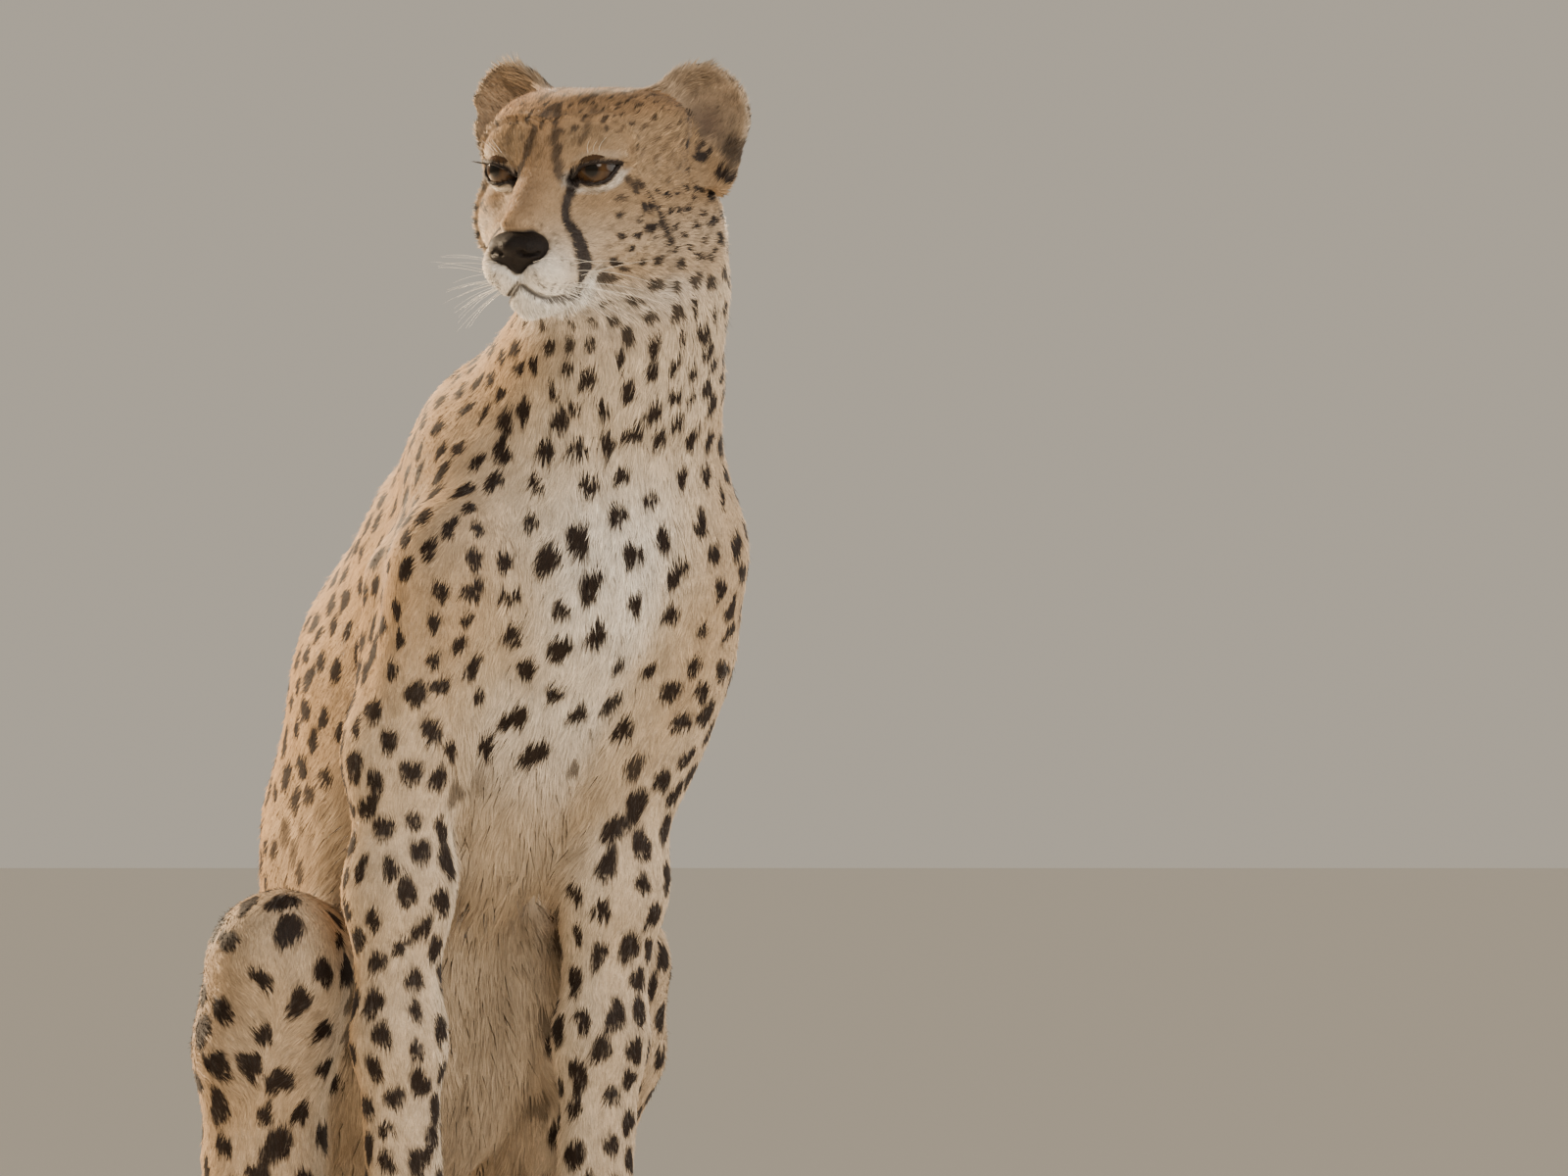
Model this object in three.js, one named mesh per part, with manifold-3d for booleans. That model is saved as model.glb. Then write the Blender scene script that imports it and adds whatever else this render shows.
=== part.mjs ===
// A life-size cheetah sitting upright, its head turned to its right and its tail laid round its left side.
// Millimetres, +Z up. The floor is z = 0, the animal faces -Y, and its left side is +X.
// The flesh is one smooth field, built on the animal's skeleton from tapered limbs and balls that blend where
// muscle runs over a joint. Each sub-part is that field turned into a closed mesh and parted from its neighbours
// by thin flat cuts. Ears, eyes, nose, claws and the free tail are shapes of their own.
import * as THREE from "three";
import { mergeVertices } from "three/addons/utils/BufferGeometryUtils.js";
import Module from "manifold-3d";

const wasm = await Module();
wasm.setup();

// ---- Driving dimensions ----
const CUT = 0.5; // gap between two sub-parts
const GRID = 1 / 64; // finest step between two corners
const LEAN = { slope: 0.1, from: 340, foot: -2, ease: 40 }; // the chest leans to the left above the elbows
const NECK_BLEND = 40;
const LIMB_BLEND = 32;
const HEAD_TURN = 53; // degrees, to the animal's right
const HEAD_NOD = 4; // degrees, nose down
const SKULL = [-4, -330, 812]; // middle of the braincase
const EYE = { side: 32, ahead: 46, up: 12.5, radius: 16.5 }; // from the middle of the braincase
const EAR = { side: 59, ahead: -30, up: 31, tilt: 43, turn: 10, width: 74, height: 60, wall: 5, cup: 15, root: 12 };
const NOSE = { ahead: 99, up: -38, width: 40, height: 32, depth: 32 };
const PAW = { length: 96, spread: 16, toe: 13.5, fore: { side: 70, heel: -196 }, hind: { side: 128, heel: -76 } };
const CLAW = { length: 15, radius: 3.6, drop: 7, sides: 6 };
const TAIL_RADII = [29, 23, 19, 17, 16, 16.5, 18, 17, 8]; // root to tip, coat included
const TAIL_JOINTS = [0, 0.36, 0.7, 1]; // parts of its length where the tail is divided
const COLOURS = { coat: 0xc2a070, pale: 0xd9cdb8, ear: 0xa88d66, eye: 0x6b3d14, nose: 0x2a1c18, claw: 0x3b332c };

// ---- Fields: negative inside, in millimetres ----
const mix = (a, b, t) => a + (b - a) * t;

// A tapered limb from a to b. flat below 1 narrows it sideways.
function limb(a, b, ra, rb, flat = 1) {
  const [ax, ay, az] = a;
  const [bx, by, bz] = [(b[0] - ax) / flat, b[1] - ay, b[2] - az];
  const length2 = bx * bx + by * by + bz * bz;
  return (x, y, z) => {
    const [px, py, pz] = [(x - ax) / flat, y - ay, z - az];
    const t = Math.min(1, Math.max(0, (px * bx + py * by + pz * bz) / length2));
    return (Math.hypot(px - bx * t, py - by * t, pz - bz * t) - mix(ra, rb, t)) * (flat < 1 ? (1 + flat) / 2 : 1);
  };
}

// An ellipsoid with half-sizes r.
function ball(c, r) {
  return (x, y, z) => {
    const [px, py, pz] = [x - c[0], y - c[1], z - c[2]];
    const k0 = Math.hypot(px / r[0], py / r[1], pz / r[2]);
    const k1 = Math.hypot(px / r[0] ** 2, py / r[1] ** 2, pz / r[2] ** 2);
    return k1 > 0 ? (k0 * (k0 - 1)) / k1 : -Math.min(...r);
  };
}

// The union of fields, with a fillet about k wide where they meet.
function blend(k, ...fields) {
  return (x, y, z) => {
    let d = 1e6;
    for (const field of fields) {
      const e = field(x, y, z);
      const h = Math.max(k - Math.abs(d - e), 0) / k;
      d = Math.min(d, e) - (h * h * k) / 4;
    }
    return d;
  };
}

// A run of limbs through stations [x, y, z, radius].
function chain(k, flat, ...stations) {
  const runs = stations.slice(1).map((s, i) => limb(stations[i], s, stations[i][3], s[3], flat));
  return blend(k, ...runs);
}

const mirror = (side, p) => [side * p[0], p[1], p[2], ...p.slice(3)];

// ---- The body, on its skeleton ----
const ribs = blend(
  36,
  chain(30, 0.76, [0, -186, 584, 102], [0, -140, 548, 114], [0, -56, 478, 110]),
  chain(30, 0.84, [0, -56, 478, 106], [0, 2, 386, 90], [0, 34, 262, 86], [0, 70, 120, 80]),
  ball([2, -256, 566], [78, 76, 100]), // breast
);
const trunk = blend(
  36,
  ribs,
  limb([0, -200, 480], [0, -156, 392], 62, 58, 0.85), // brisket and its loose fur
  ball([0, -62, 296], [86, 72, 160]), // belly fur, between the knees
  ball([0, 116, 58], [50, 62, 62]), // seat
  limb([0, 132, 92], [0, 206, 34], 52, 28), // root of the tail
);

function foreleg(side) {
  const at = (...p) => mirror(side, p);
  return blend(
    26,
    limb(at(42, -150, 636), at(82, -250, 560), 34, 50, 0.8), // shoulder blade
    limb(at(86, -258, 556), at(86, -202, 432), 48, 38), // upper arm
    limb(at(82, -190, 546), at(86, -186, 440), 40, 32), // triceps
    chain(26, 1, at(86, -202, 432, 38), at(82, -196, 340, 35), at(78, -192, 240, 29.5)), // forearm
    limb(at(78, -192, 240), at(72, -192, 110), 29.5, 28), // wrist
    limb(at(72, -192, 110), at(PAW.fore.side, -206, 42), 27, 26),
  );
}

function hindleg(side) {
  const at = (...p) => mirror(side, p);
  return blend(
    28,
    limb(at(38, 74, 172), at(117, -94, 288), 62, 53, 0.84), // thigh
    limb(at(34, 82, 108), at(106, -54, 176), 50, 48, 0.84), // back of the thigh
    limb(at(118, -94, 284), at(123, -84, 232), 51, 47), // knee and calf
    limb(at(123, -80, 232), at(117, -64, 150), 46, 35), // shank
    limb(at(117, -64, 150), at(104, 10, 54), 34, 27), // tendon of the heel
    limb(at(102, 28, 26), at(124, -88, 25), 27, 27), // heel to ball of the foot
  );
}

// Where the toes of a foot end: sideways and fore-and-aft, from the inner toe to the outer one.
function toeTips({ side, heel }) {
  return [-1.5, -0.5, 0.5, 1.5].map((n) => {
    const reach = Math.abs(n) > 1 ? PAW.length * 0.82 : PAW.length;
    return { x: side + n * PAW.spread, y: heel - reach };
  });
}

// A paw that points forward: four toes and the pad behind them.
function paw(sign, place) {
  const { side, heel } = place;
  const toes = toeTips(place).map(({ x, y }) =>
    limb([sign * mix(side, x, 0.5), heel - PAW.length * 0.42, 30], [sign * x, y + PAW.toe, PAW.toe - 2], 17, PAW.toe),
  );
  return blend(7, ball([sign * side, heel - PAW.length * 0.34, 18], [30, 36, 24]), ...toes);
}

const midline = (z) => LEAN.foot + LEAN.slope * LEAN.ease * Math.log(1 + Math.exp((z - LEAN.from) / LEAN.ease));
const leaning = (field) => (x, y, z) => field(x - midline(z), y, z);
const forequarters = blend(LIMB_BLEND, trunk, foreleg(1), foreleg(-1));
const hindquarters = blend(LIMB_BLEND, trunk, hindleg(1), hindleg(-1));

// ---- The head, in its own frame: +X its left, -Y ahead, origin in the middle of the braincase ----
const headPlace = new THREE.Matrix4()
  .makeTranslation(...SKULL)
  .multiply(new THREE.Matrix4().makeRotationZ(THREE.MathUtils.degToRad(-HEAD_TURN)))
  .multiply(new THREE.Matrix4().makeRotationX(THREE.MathUtils.degToRad(HEAD_NOD)));
const headInverse = headPlace.clone().invert();

const pair = (make) => [make(1), make(-1)];
const skull = blend(
  18,
  ball([0, 10, 10], [64, 66, 53]), // braincase
  ...pair((s) => ball([s * 34, 10, 36], [36, 44, 26])), // muscle at the root of the ear
  ball([0, -24, 24], [52, 40, 36]), // forehead
  ...pair((s) => ball([s * 33, -38, 24], [21, 21, 16])), // brow
  ...pair((s) => ball([s * 42, -8, -20], [28, 44, 36])), // cheekbone
  ...pair((s) => limb([s * 34, -28, -26], [s * 21, -66, -40], 27, 20)), // cheek, to the muzzle
  limb([0, -36, 6], [0, -92, -23], 31, 18), // bridge of the nose
  ...pair((s) => ball([s * 15, -84, -50], [20, 28, 20])), // whisker pads
  limb([0, -16, -56], [0, -84, -73], 32, 15), // chin
  ...pair((s) => ball([s * 32, 8, -50], [28, 36, 32])), // angle of the jaw
);

function headField(x, y, z) {
  const e = headInverse.elements;
  return skull(
    e[0] * x + e[4] * y + e[8] * z + e[12],
    e[1] * x + e[5] * y + e[9] * z + e[13],
    e[2] * x + e[6] * y + e[10] * z + e[14],
  );
}
const neck = blend(
  30,
  chain(30, 1, [34, -212, 630, 92], [44, -270, 690, 70], [44, -300, 745, 61], [24, -316, 790, 58]),
  limb([96, -252, 580], [72, -262, 664], 48, 50), // where it swells into the left shoulder
);

const front = blend(NECK_BLEND, leaning(forequarters), neck);
const rear = leaning(hindquarters);
const animal = blend(26, (x, y, z) => Math.min(front(x, y, z), rear(x, y, z)), headField);
const withPaw = (body, sign, place) => blend(14, body, leaning(paw(sign, place)));

// ---- Meshing: naive surface nets on a box of cells, in the frame that `place` maps to the animal's ----
function netSurface(field, low, high, cell, place = new THREE.Matrix4()) {
  const count = [0, 1, 2].map((a) => Math.ceil((high[a] - low[a]) / cell[a]) + 1);
  const [nx, ny, nz] = count;
  const at = (i, j, k) => (k * ny + j) * nx + i;
  const value = new Float64Array(nx * ny * nz);
  const point = new THREE.Vector3();
  const rim = (i, n) => i === 0 || i === n - 1;
  const clear = 0.035 * Math.min(...cell); // keeps the surface off the grid's own corners
  for (let k = 0; k < nz; k++)
    for (let j = 0; j < ny; j++)
      for (let i = 0; i < nx; i++) {
        point.set(low[0] + i * cell[0], low[1] + j * cell[1], low[2] + k * cell[2]).applyMatrix4(place);
        const depth = rim(i, nx) || rim(j, ny) || rim(k, nz) ? 1 : field(point.x, point.y, point.z);
        value[at(i, j, k)] = Math.abs(depth) < clear ? (depth < 0 ? -clear : clear) : depth;
      }
  const positions = [];
  const vertexOf = new Map();
  const corners = [0, 1, 2, 3, 4, 5, 6, 7].map((c) => [c & 1, (c >> 1) & 1, c >> 2]);
  const edges = [];
  for (let a = 0; a < 8; a++) for (const bit of [1, 2, 4]) if (!(a & bit)) edges.push([a, a | bit]);
  for (let k = 0; k < nz - 1; k++)
    for (let j = 0; j < ny - 1; j++)
      for (let i = 0; i < nx - 1; i++) {
        const v = corners.map(([a, b, c]) => value[at(i + a, j + b, k + c)]);
        const sum = [0, 0, 0];
        let crossings = 0;
        for (const [a, b] of edges) {
          if (v[a] < 0 === v[b] < 0) continue;
          const t = v[a] / (v[a] - v[b]);
          for (let axis = 0; axis < 3; axis++) sum[axis] += mix(corners[a][axis], corners[b][axis], t);
          crossings++;
        }
        if (!crossings) continue;
        vertexOf.set(at(i, j, k), positions.length / 3);
        [i, j, k].forEach((n, axis) => positions.push(low[axis] + (n + sum[axis] / crossings) * cell[axis]));
      }
  const index = [];
  const step = [at(1, 0, 0), at(0, 1, 0), at(0, 0, 1)];
  const apart = (a, b) => Math.hypot(...[0, 1, 2].map((axis) => positions[3 * a + axis] - positions[3 * b + axis]));
  for (let k = 0; k < nz - 1; k++)
    for (let j = 0; j < ny - 1; j++)
      for (let i = 0; i < nx - 1; i++)
        for (let axis = 0; axis < 3; axis++) {
          if ([i, j, k].some((n, other) => other !== axis && n === 0)) continue;
          const here = at(i, j, k);
          const inside = value[here] < 0;
          if (inside === value[here + step[axis]] < 0) continue;
          const [u, w] = [step[(axis + 1) % 3], step[(axis + 2) % 3]];
          let quad = [here - u - w, here - w, here, here - u].map((cellAt) => vertexOf.get(cellAt));
          if (!inside) quad.reverse();
          if (apart(quad[0], quad[2]) > apart(quad[1], quad[3])) quad = [...quad.slice(1), quad[0]];
          index.push(quad[0], quad[1], quad[2], quad[0], quad[2], quad[3]);
        }
  const geometry = new THREE.BufferGeometry();
  geometry.setAttribute("position", new THREE.Float32BufferAttribute(positions, 3));
  geometry.setIndex(index);
  return geometry;
}

// ---- Solids ----
function solidOf(geometry) {
  const bare = geometry.clone();
  bare.deleteAttribute("normal");
  bare.deleteAttribute("uv");
  const merged = mergeVertices(bare, 1e-4);
  return new wasm.Manifold(
    new wasm.Mesh({
      numProp: 3,
      vertProperties: merged.attributes.position.array,
      triVerts: new Uint32Array(merged.index.array),
    }),
  );
}

function geometryOf(solid) {
  const mesh = solid.getMesh();
  const geometry = new THREE.BufferGeometry();
  geometry.setAttribute("position", new THREE.BufferAttribute(mesh.vertProperties, 3));
  geometry.setIndex(new THREE.BufferAttribute(mesh.triVerts, 1));
  geometry.computeVertexNormals();
  return geometry;
}

// Corners on a fine grid, so that those closer than a step become one and no sliver is left. An edge where two
// sheets of the surface touch is drawn together to one corner.
function settled(geometry) {
  const positions = geometry.attributes.position.array.map((v) => Math.round(v / GRID) * GRID);
  const bare = new THREE.BufferGeometry();
  bare.setAttribute("position", new THREE.BufferAttribute(positions, 3));
  bare.setIndex(geometry.index);
  const merged = mergeVertices(bare, GRID / 2);
  let index = Array.from(merged.index.array);
  for (let pass = 0; pass < 4; pass++) {
    const whole = (i) => index[i] !== index[i + 1] && index[i + 1] !== index[i + 2] && index[i + 2] !== index[i];
    index = index.filter((_, i) => whole(i - (i % 3)));
    const uses = new Map();
    index.forEach((a, i) => {
      const b = index[i % 3 === 2 ? i - 2 : i + 1];
      const edge = `${Math.min(a, b)} ${Math.max(a, b)}`;
      uses.set(edge, (uses.get(edge) ?? 0) + 1);
    });
    const crowded = [...uses].filter(([, n]) => n > 2).map(([edge]) => edge.split(" ").map(Number));
    const joined = new Map(crowded.map(([a, b]) => [b, a]));
    index = index.map((v) => joined.get(v) ?? v);
  }
  merged.setIndex(index);
  merged.computeVertexNormals();
  return merged;
}

const largest = (solid) => solid.decompose().reduce((a, b) => (a.volume() > b.volume() ? a : b));

function boxSolid(low, high) {
  const size = [0, 1, 2].map((a) => high[a] - low[a]);
  const geometry = new THREE.BoxGeometry(...size);
  geometry.translate(...[0, 1, 2].map((a) => (high[a] + low[a]) / 2));
  return solidOf(geometry);
}

// The half-space beyond a plane, as a large block. grow moves its face back by that much.
function beyond({ point, normal }, grow = 0) {
  const reach = 1600;
  const geometry = new THREE.BoxGeometry(2 * reach, 2 * reach, reach);
  geometry.translate(0, 0, reach / 2 - grow);
  const up = new THREE.Vector3(0, 0, 1);
  const turn = new THREE.Quaternion().setFromUnitVectors(up, new THREE.Vector3(...normal).normalize());
  geometry.applyQuaternion(turn);
  geometry.translate(...point);
  return solidOf(geometry);
}

// A closed tube through rings of points, all of one length, with a fan over each end.
function tube(rings) {
  const sides = rings[0].length;
  const positions = rings.flatMap((ring) => ring.flatMap((p) => [p.x, p.y, p.z]));
  const index = [];
  for (let r = 0; r < rings.length - 1; r++)
    for (let i = 0; i < sides; i++) {
      const [a, b] = [r * sides + i, r * sides + ((i + 1) % sides)];
      index.push(a, b, b + sides, a, b + sides, a + sides);
    }
  [0, rings.length - 1].forEach((r) => {
    const middle = rings[r].reduce((sum, p) => sum.add(p), new THREE.Vector3()).divideScalar(sides);
    const hub = positions.length / 3;
    positions.push(middle.x, middle.y, middle.z);
    for (let i = 0; i < sides; i++) {
      const [a, b] = [r * sides + i, r * sides + ((i + 1) % sides)];
      index.push(hub, ...(r ? [a, b] : [b, a]));
    }
  });
  const geometry = new THREE.BufferGeometry();
  geometry.setAttribute("position", new THREE.Float32BufferAttribute(positions, 3));
  geometry.setIndex(index);
  return solidOf(geometry);
}

// Rings square to a curve, from share `from` to share `to` of its length. radius takes the share.
function rings(curve, from, to, count, sides, radius) {
  const list = [];
  for (let n = 0; n <= count; n++) {
    const share = mix(from, to, n / count);
    const centre = curve.getPointAt(share);
    const along = curve.getTangentAt(share);
    const across = new THREE.Vector3(0, 0, 1).cross(along).normalize();
    const up = along.clone().cross(across);
    const ring = [];
    for (let i = 0; i < sides; i++) {
      const angle = (2 * Math.PI * i) / sides;
      const r = radius(share);
      ring.push(
        centre.clone().addScaledVector(across, r * Math.cos(angle)).addScaledVector(up, r * Math.sin(angle)),
      );
    }
    list.push(ring);
  }
  return list;
}

const model = new THREE.Group();

function add(name, solid, colour, place) {
  const material = new THREE.MeshStandardMaterial({ color: COLOURS[colour], roughness: 0.85, metalness: 0 });
  if (colour === "eye" || colour === "nose") material.roughness = 0.3;
  const mesh = new THREE.Mesh(geometryOf(solid), material);
  mesh.name = name;
  if (place) mesh.geometry.applyMatrix4(place);
  model.add(mesh);
}

// ---- Cutting faces between the sub-parts ----
const FLOOR = { point: [0, 0, 0], normal: [0, 0, 1] };
const NECK_TOP = { point: [30, -302, 742], normal: [-0.42, -0.28, 0.86] };
const NECK_BASE = { point: [20, -224, 668], normal: [0.1, -0.55, 0.83] };
const ELBOW = { point: [0, 0, 430], normal: [0, 0, 1] };
const WRIST = { point: [0, 0, 104], normal: [0, 0, 1] };
const KNEE_TOP = { point: [0, 0, 350], normal: [0, 0, 1] };
const ANKLE = { point: [0, 0, 84], normal: [0, 0, 1] };
const FORELEG_INNER = 44; // from the midline
const HINDLEG_INNER = 60; // from the midline, at the floor
const HINDLEG_SLOPE = 0.1; // how fast that grows with height

// What lies outside a foreleg's inner face.
function foreRegion(sign, grow) {
  const inner = { point: [midline(0) + sign * FORELEG_INNER, 0, 0], normal: [sign, 0, 0] };
  const behind = { point: [0, -142, 0], normal: [0, -1, 0] };
  return beyond(inner, grow).intersect(beyond(behind, grow)).subtract(beyond(ELBOW, -grow));
}

// What lies outside a hind leg's inner face.
function hindRegion(sign, grow) {
  const foot = [midline(0) + sign * HINDLEG_INNER, 0, 0];
  const inner = { point: foot, normal: [sign, 0, -HINDLEG_SLOPE] };
  const ahead = { point: [0, -176, 0], normal: [0, 1, 0] };
  return beyond(inner, grow).intersect(beyond(ahead, grow)).subtract(beyond(KNEE_TOP, -grow));
}

const flesh = (field, low, high, cell) => solidOf(netSurface(field, low, high, cell));

// ---- Tail: along the floor, behind the rump and forward on the left side ----
const tailCurve = new THREE.CatmullRomCurve3(
  [
    [-8, 150, 74],
    [-8, 206, 35],
    [18, 262, 21],
    [84, 282, 17],
    [150, 250, 15],
    [186, 180, 14.5],
    [197, 96, 15],
    [198, 10, 16],
    [194, -70, 16],
    [190, -120, 12],
  ].map((p) => new THREE.Vector3(...p)),
);
const tailStart = 0.095;
const tailShare = (n) => mix(tailStart, 1, TAIL_JOINTS[n]);
const tailGap = CUT / tailCurve.getLength();
const tailPlane = {
  point: tailCurve.getPointAt(tailStart).toArray(),
  normal: tailCurve.getTangentAt(tailStart).toArray(),
};
function tailRadius(share) {
  const at = ((share - tailStart) / (1 - tailStart)) * (TAIL_RADII.length - 1);
  const n = Math.min(TAIL_RADII.length - 2, Math.floor(at));
  return mix(TAIL_RADII[n], TAIL_RADII[n + 1], at - n);
}
TAIL_JOINTS.slice(1).forEach((_, n) => {
  const length = rings(tailCurve, tailShare(n) + tailGap, tailShare(n + 1), 7, 10, tailRadius);
  add(["tail_root", "tail_middle", "tail_tip"][n], tube(length).intersect(beyond(FLOOR)), "coat");
});

// ---- Trunk and neck ----
const block = flesh(animal, [-230, -440, -30], [240, 300, 850], [31, 31.5, 32]).intersect(beyond(FLOOR));
let body = block.subtract(beyond(NECK_BASE, CUT)).subtract(beyond(tailPlane));
for (const sign of [1, -1]) body = body.subtract(foreRegion(sign, CUT)).subtract(hindRegion(sign, CUT));
add("trunk", largest(body), "coat");
const neckBlock = flesh(animal, [-140, -420, 540], [190, -70, 840], [23, 23, 23]);
add("neck", largest(neckBlock.intersect(beyond(NECK_BASE)).subtract(beyond(NECK_TOP, CUT))), "coat");

// ---- Claws: one to a toe, in a socket of its own ----
function claw(sign, tip, grow) {
  const x = sign * tip.x + midline(0);
  const { length, radius, drop, sides } = CLAW;
  const arc = new THREE.CatmullRomCurve3([
    new THREE.Vector3(x, tip.y + 6 + 2 * grow, 12),
    new THREE.Vector3(x, tip.y - 1, 12.5),
    new THREE.Vector3(x, tip.y + 6 - length, 12 - drop),
  ]);
  return tube(rings(arc, 0, 1, 2, sides, (share) => mix(radius, 0.9, share) + grow));
}

// ---- Legs ----
for (const [sign, word] of [[1, "left"], [-1, "right"]]) {
  const near = (field, inner, outer, y, z, cell) => {
    const [a, b] = sign > 0 ? [inner, outer] : [-outer, -inner];
    return flesh(field, [a, y[0], z[0]], [b, y[1], z[1]], cell);
  };
  const arm = near(leaning(blend(LIMB_BLEND, ribs, foreleg(sign))), -20, 170, [-320, -90], [60, 480], [18, 19, 38]);
  add(`foreleg_${word}`, largest(arm.intersect(foreRegion(sign, 0)).intersect(beyond(WRIST))), "coat");
  const ham = near(rear, 0, 220, [-200, 220], [20, 400], [25, 27, 26]);
  add(`thigh_${word}`, largest(ham.intersect(hindRegion(sign, 0)).intersect(beyond(ANKLE))), "coat");

  const fore = near(withPaw(front, sign, PAW.fore), -10, 160, [-330, -140], [-20, 140], [12.5, 13, 14]);
  const hind = near(withPaw(rear, sign, PAW.hind), 20, 200, [-200, 160], [-20, 118], [12.5, 16, 14]);
  const feet = {
    forepaw: { solid: fore.subtract(beyond(WRIST, CUT)), tips: toeTips(PAW.fore) },
    hindfoot: { solid: hind.subtract(beyond(ANKLE, CUT)).intersect(hindRegion(sign, 0)), tips: toeTips(PAW.hind) },
  };
  for (const [foot, { solid, tips }] of Object.entries(feet)) {
    const sockets = tips.reduce((rest, tip) => rest.subtract(claw(sign, tip, 0.4)), solid.intersect(beyond(FLOOR)));
    add(`${foot}_${word}`, largest(sockets), "coat");
    tips.forEach((tip, n) => add(`claw_${foot}_${word}_${n + 1}`, claw(sign, tip, 0), "claw"));
  }
}

// ---- Head, in its own frame ----
// An ear is a dish with its rim along an arch. s runs from its inner edge to its outer one, t from root to tip.
function ear(sign) {
  const { side, ahead, up, tilt, turn, width, height, wall, cup, root } = EAR;
  const place = new THREE.Matrix4().makeTranslation(side, -ahead, up);
  place.multiply(new THREE.Matrix4().makeRotationZ(THREE.MathUtils.degToRad(turn)));
  place.multiply(new THREE.Matrix4().makeRotationY(THREE.MathUtils.degToRad(tilt)));
  const steps = 6;
  const list = [-root, 0, 0.35, 0.65, 0.86, 0.97].map((level) => {
    const t = Math.max(0, level);
    const half = (width / 2) * Math.sqrt(1 - t ** 3);
    const depth = cup * Math.sin(Math.PI * (0.32 + 0.68 * t));
    const z = level < 0 ? level : level * height;
    const face = (n, out) => {
      const s = (2 * n) / steps - 1;
      const y = depth * (1 - s * s) + out * (wall / 2) * Math.sqrt(1 - s * s);
      return new THREE.Vector3(s * half, y, z).applyMatrix4(place);
    };
    const ring = [];
    for (let n = 0; n <= steps; n++) ring.push(face(n, n % steps ? -1 : 0));
    for (let n = steps - 1; n > 0; n--) ring.push(face(n, 1));
    return ring.map((p) => p.setX(sign * p.x));
  });
  return tube(sign > 0 ? list : list.map((ring) => [...ring].reverse()));
}

// The pad of the nose: wide above, narrow at the lip.
function nosePad(grow) {
  const geometry = new THREE.SphereGeometry(1, 14, 8);
  const p = geometry.attributes.position;
  for (let i = 0; i < p.count; i++) {
    const narrow = p.getZ(i) < 0 ? 1 + 0.45 * p.getZ(i) : 1;
    const x = p.getX(i) * (NOSE.width / 2 + grow) * narrow;
    const y = p.getY(i) * (NOSE.depth / 2 + grow) - NOSE.ahead;
    p.setXYZ(i, x, y, p.getZ(i) * (NOSE.height / 2 + grow) + NOSE.up);
  }
  return solidOf(geometry);
}

function eyeBall(sign, grow) {
  const geometry = new THREE.SphereGeometry(EYE.radius + grow, 14, 8);
  geometry.translate(sign * EYE.side, -EYE.ahead, EYE.up);
  return solidOf(geometry);
}

const headBlock = (field) => solidOf(netSurface(field, [-96, -130, -112], [96, 112, 88], [13, 13, 13], headPlace));
const neckTopInHead = solidOf(geometryOf(beyond(NECK_TOP)).applyMatrix4(headInverse));
let face = headBlock(animal).intersect(neckTopInHead).subtract(nosePad(CUT));
for (const sign of [1, -1]) face = face.subtract(eyeBall(sign, CUT));
add("head", largest(face), "coat", headPlace);
add("nose", nosePad(0), "nose", headPlace);
const clearOfHead = headBlock((x, y, z) => animal(x, y, z) - 2 * CUT);
for (const [sign, word] of [[1, "left"], [-1, "right"]]) {
  add(`ear_${word}`, largest(ear(sign).subtract(clearOfHead)), "ear", headPlace);
  add(`eye_${word}`, eyeBall(sign, 0), "eye", headPlace);
}

// Stand the animal over the origin.
const bounds = new THREE.Box3().setFromObject(model);
const middle = bounds.getCenter(new THREE.Vector3());
for (const mesh of model.children) mesh.geometry = settled(mesh.geometry.translate(-middle.x, -middle.y, 0));

export default model;
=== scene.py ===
# %% [markdown]
# # A cheetah that sits and looks over its right shoulder
# The animal is dressed in this order: one smooth skin, the folds and lids of its face, its spots and lines,
# eyes and nose, whiskers, lashes and claws, then the coat of small solid locks, and last the floor, lights
# and camera.
# Everything is worked out in millimetres on the animal's own skeleton, and turned into metres at the end.

import math

import bmesh
import bpy
import numpy as np
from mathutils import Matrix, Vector, kdtree


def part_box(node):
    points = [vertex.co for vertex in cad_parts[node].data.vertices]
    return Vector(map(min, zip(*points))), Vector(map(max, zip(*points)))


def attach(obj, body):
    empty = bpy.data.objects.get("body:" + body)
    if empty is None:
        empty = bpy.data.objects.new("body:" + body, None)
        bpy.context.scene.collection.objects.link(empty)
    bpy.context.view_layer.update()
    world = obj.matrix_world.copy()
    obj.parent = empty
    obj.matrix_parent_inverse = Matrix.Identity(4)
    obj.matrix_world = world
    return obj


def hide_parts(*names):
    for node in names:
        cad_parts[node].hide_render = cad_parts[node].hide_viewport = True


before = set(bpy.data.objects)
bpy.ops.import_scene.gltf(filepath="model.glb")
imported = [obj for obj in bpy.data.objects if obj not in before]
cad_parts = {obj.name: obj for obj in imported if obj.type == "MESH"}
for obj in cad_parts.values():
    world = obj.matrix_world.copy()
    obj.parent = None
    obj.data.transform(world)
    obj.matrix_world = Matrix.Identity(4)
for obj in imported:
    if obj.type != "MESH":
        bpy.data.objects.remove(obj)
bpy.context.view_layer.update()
HEAD_SEAT = np.array([-4.0, -330.0, 812.0])  # middle of the braincase, on the skeleton
HEAD_TURN = math.radians(53)
HEAD_NOD = math.radians(4)
EYE = {"side": 32.0, "ahead": 46.0, "up": 12.5, "radius": 16.5}


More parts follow.
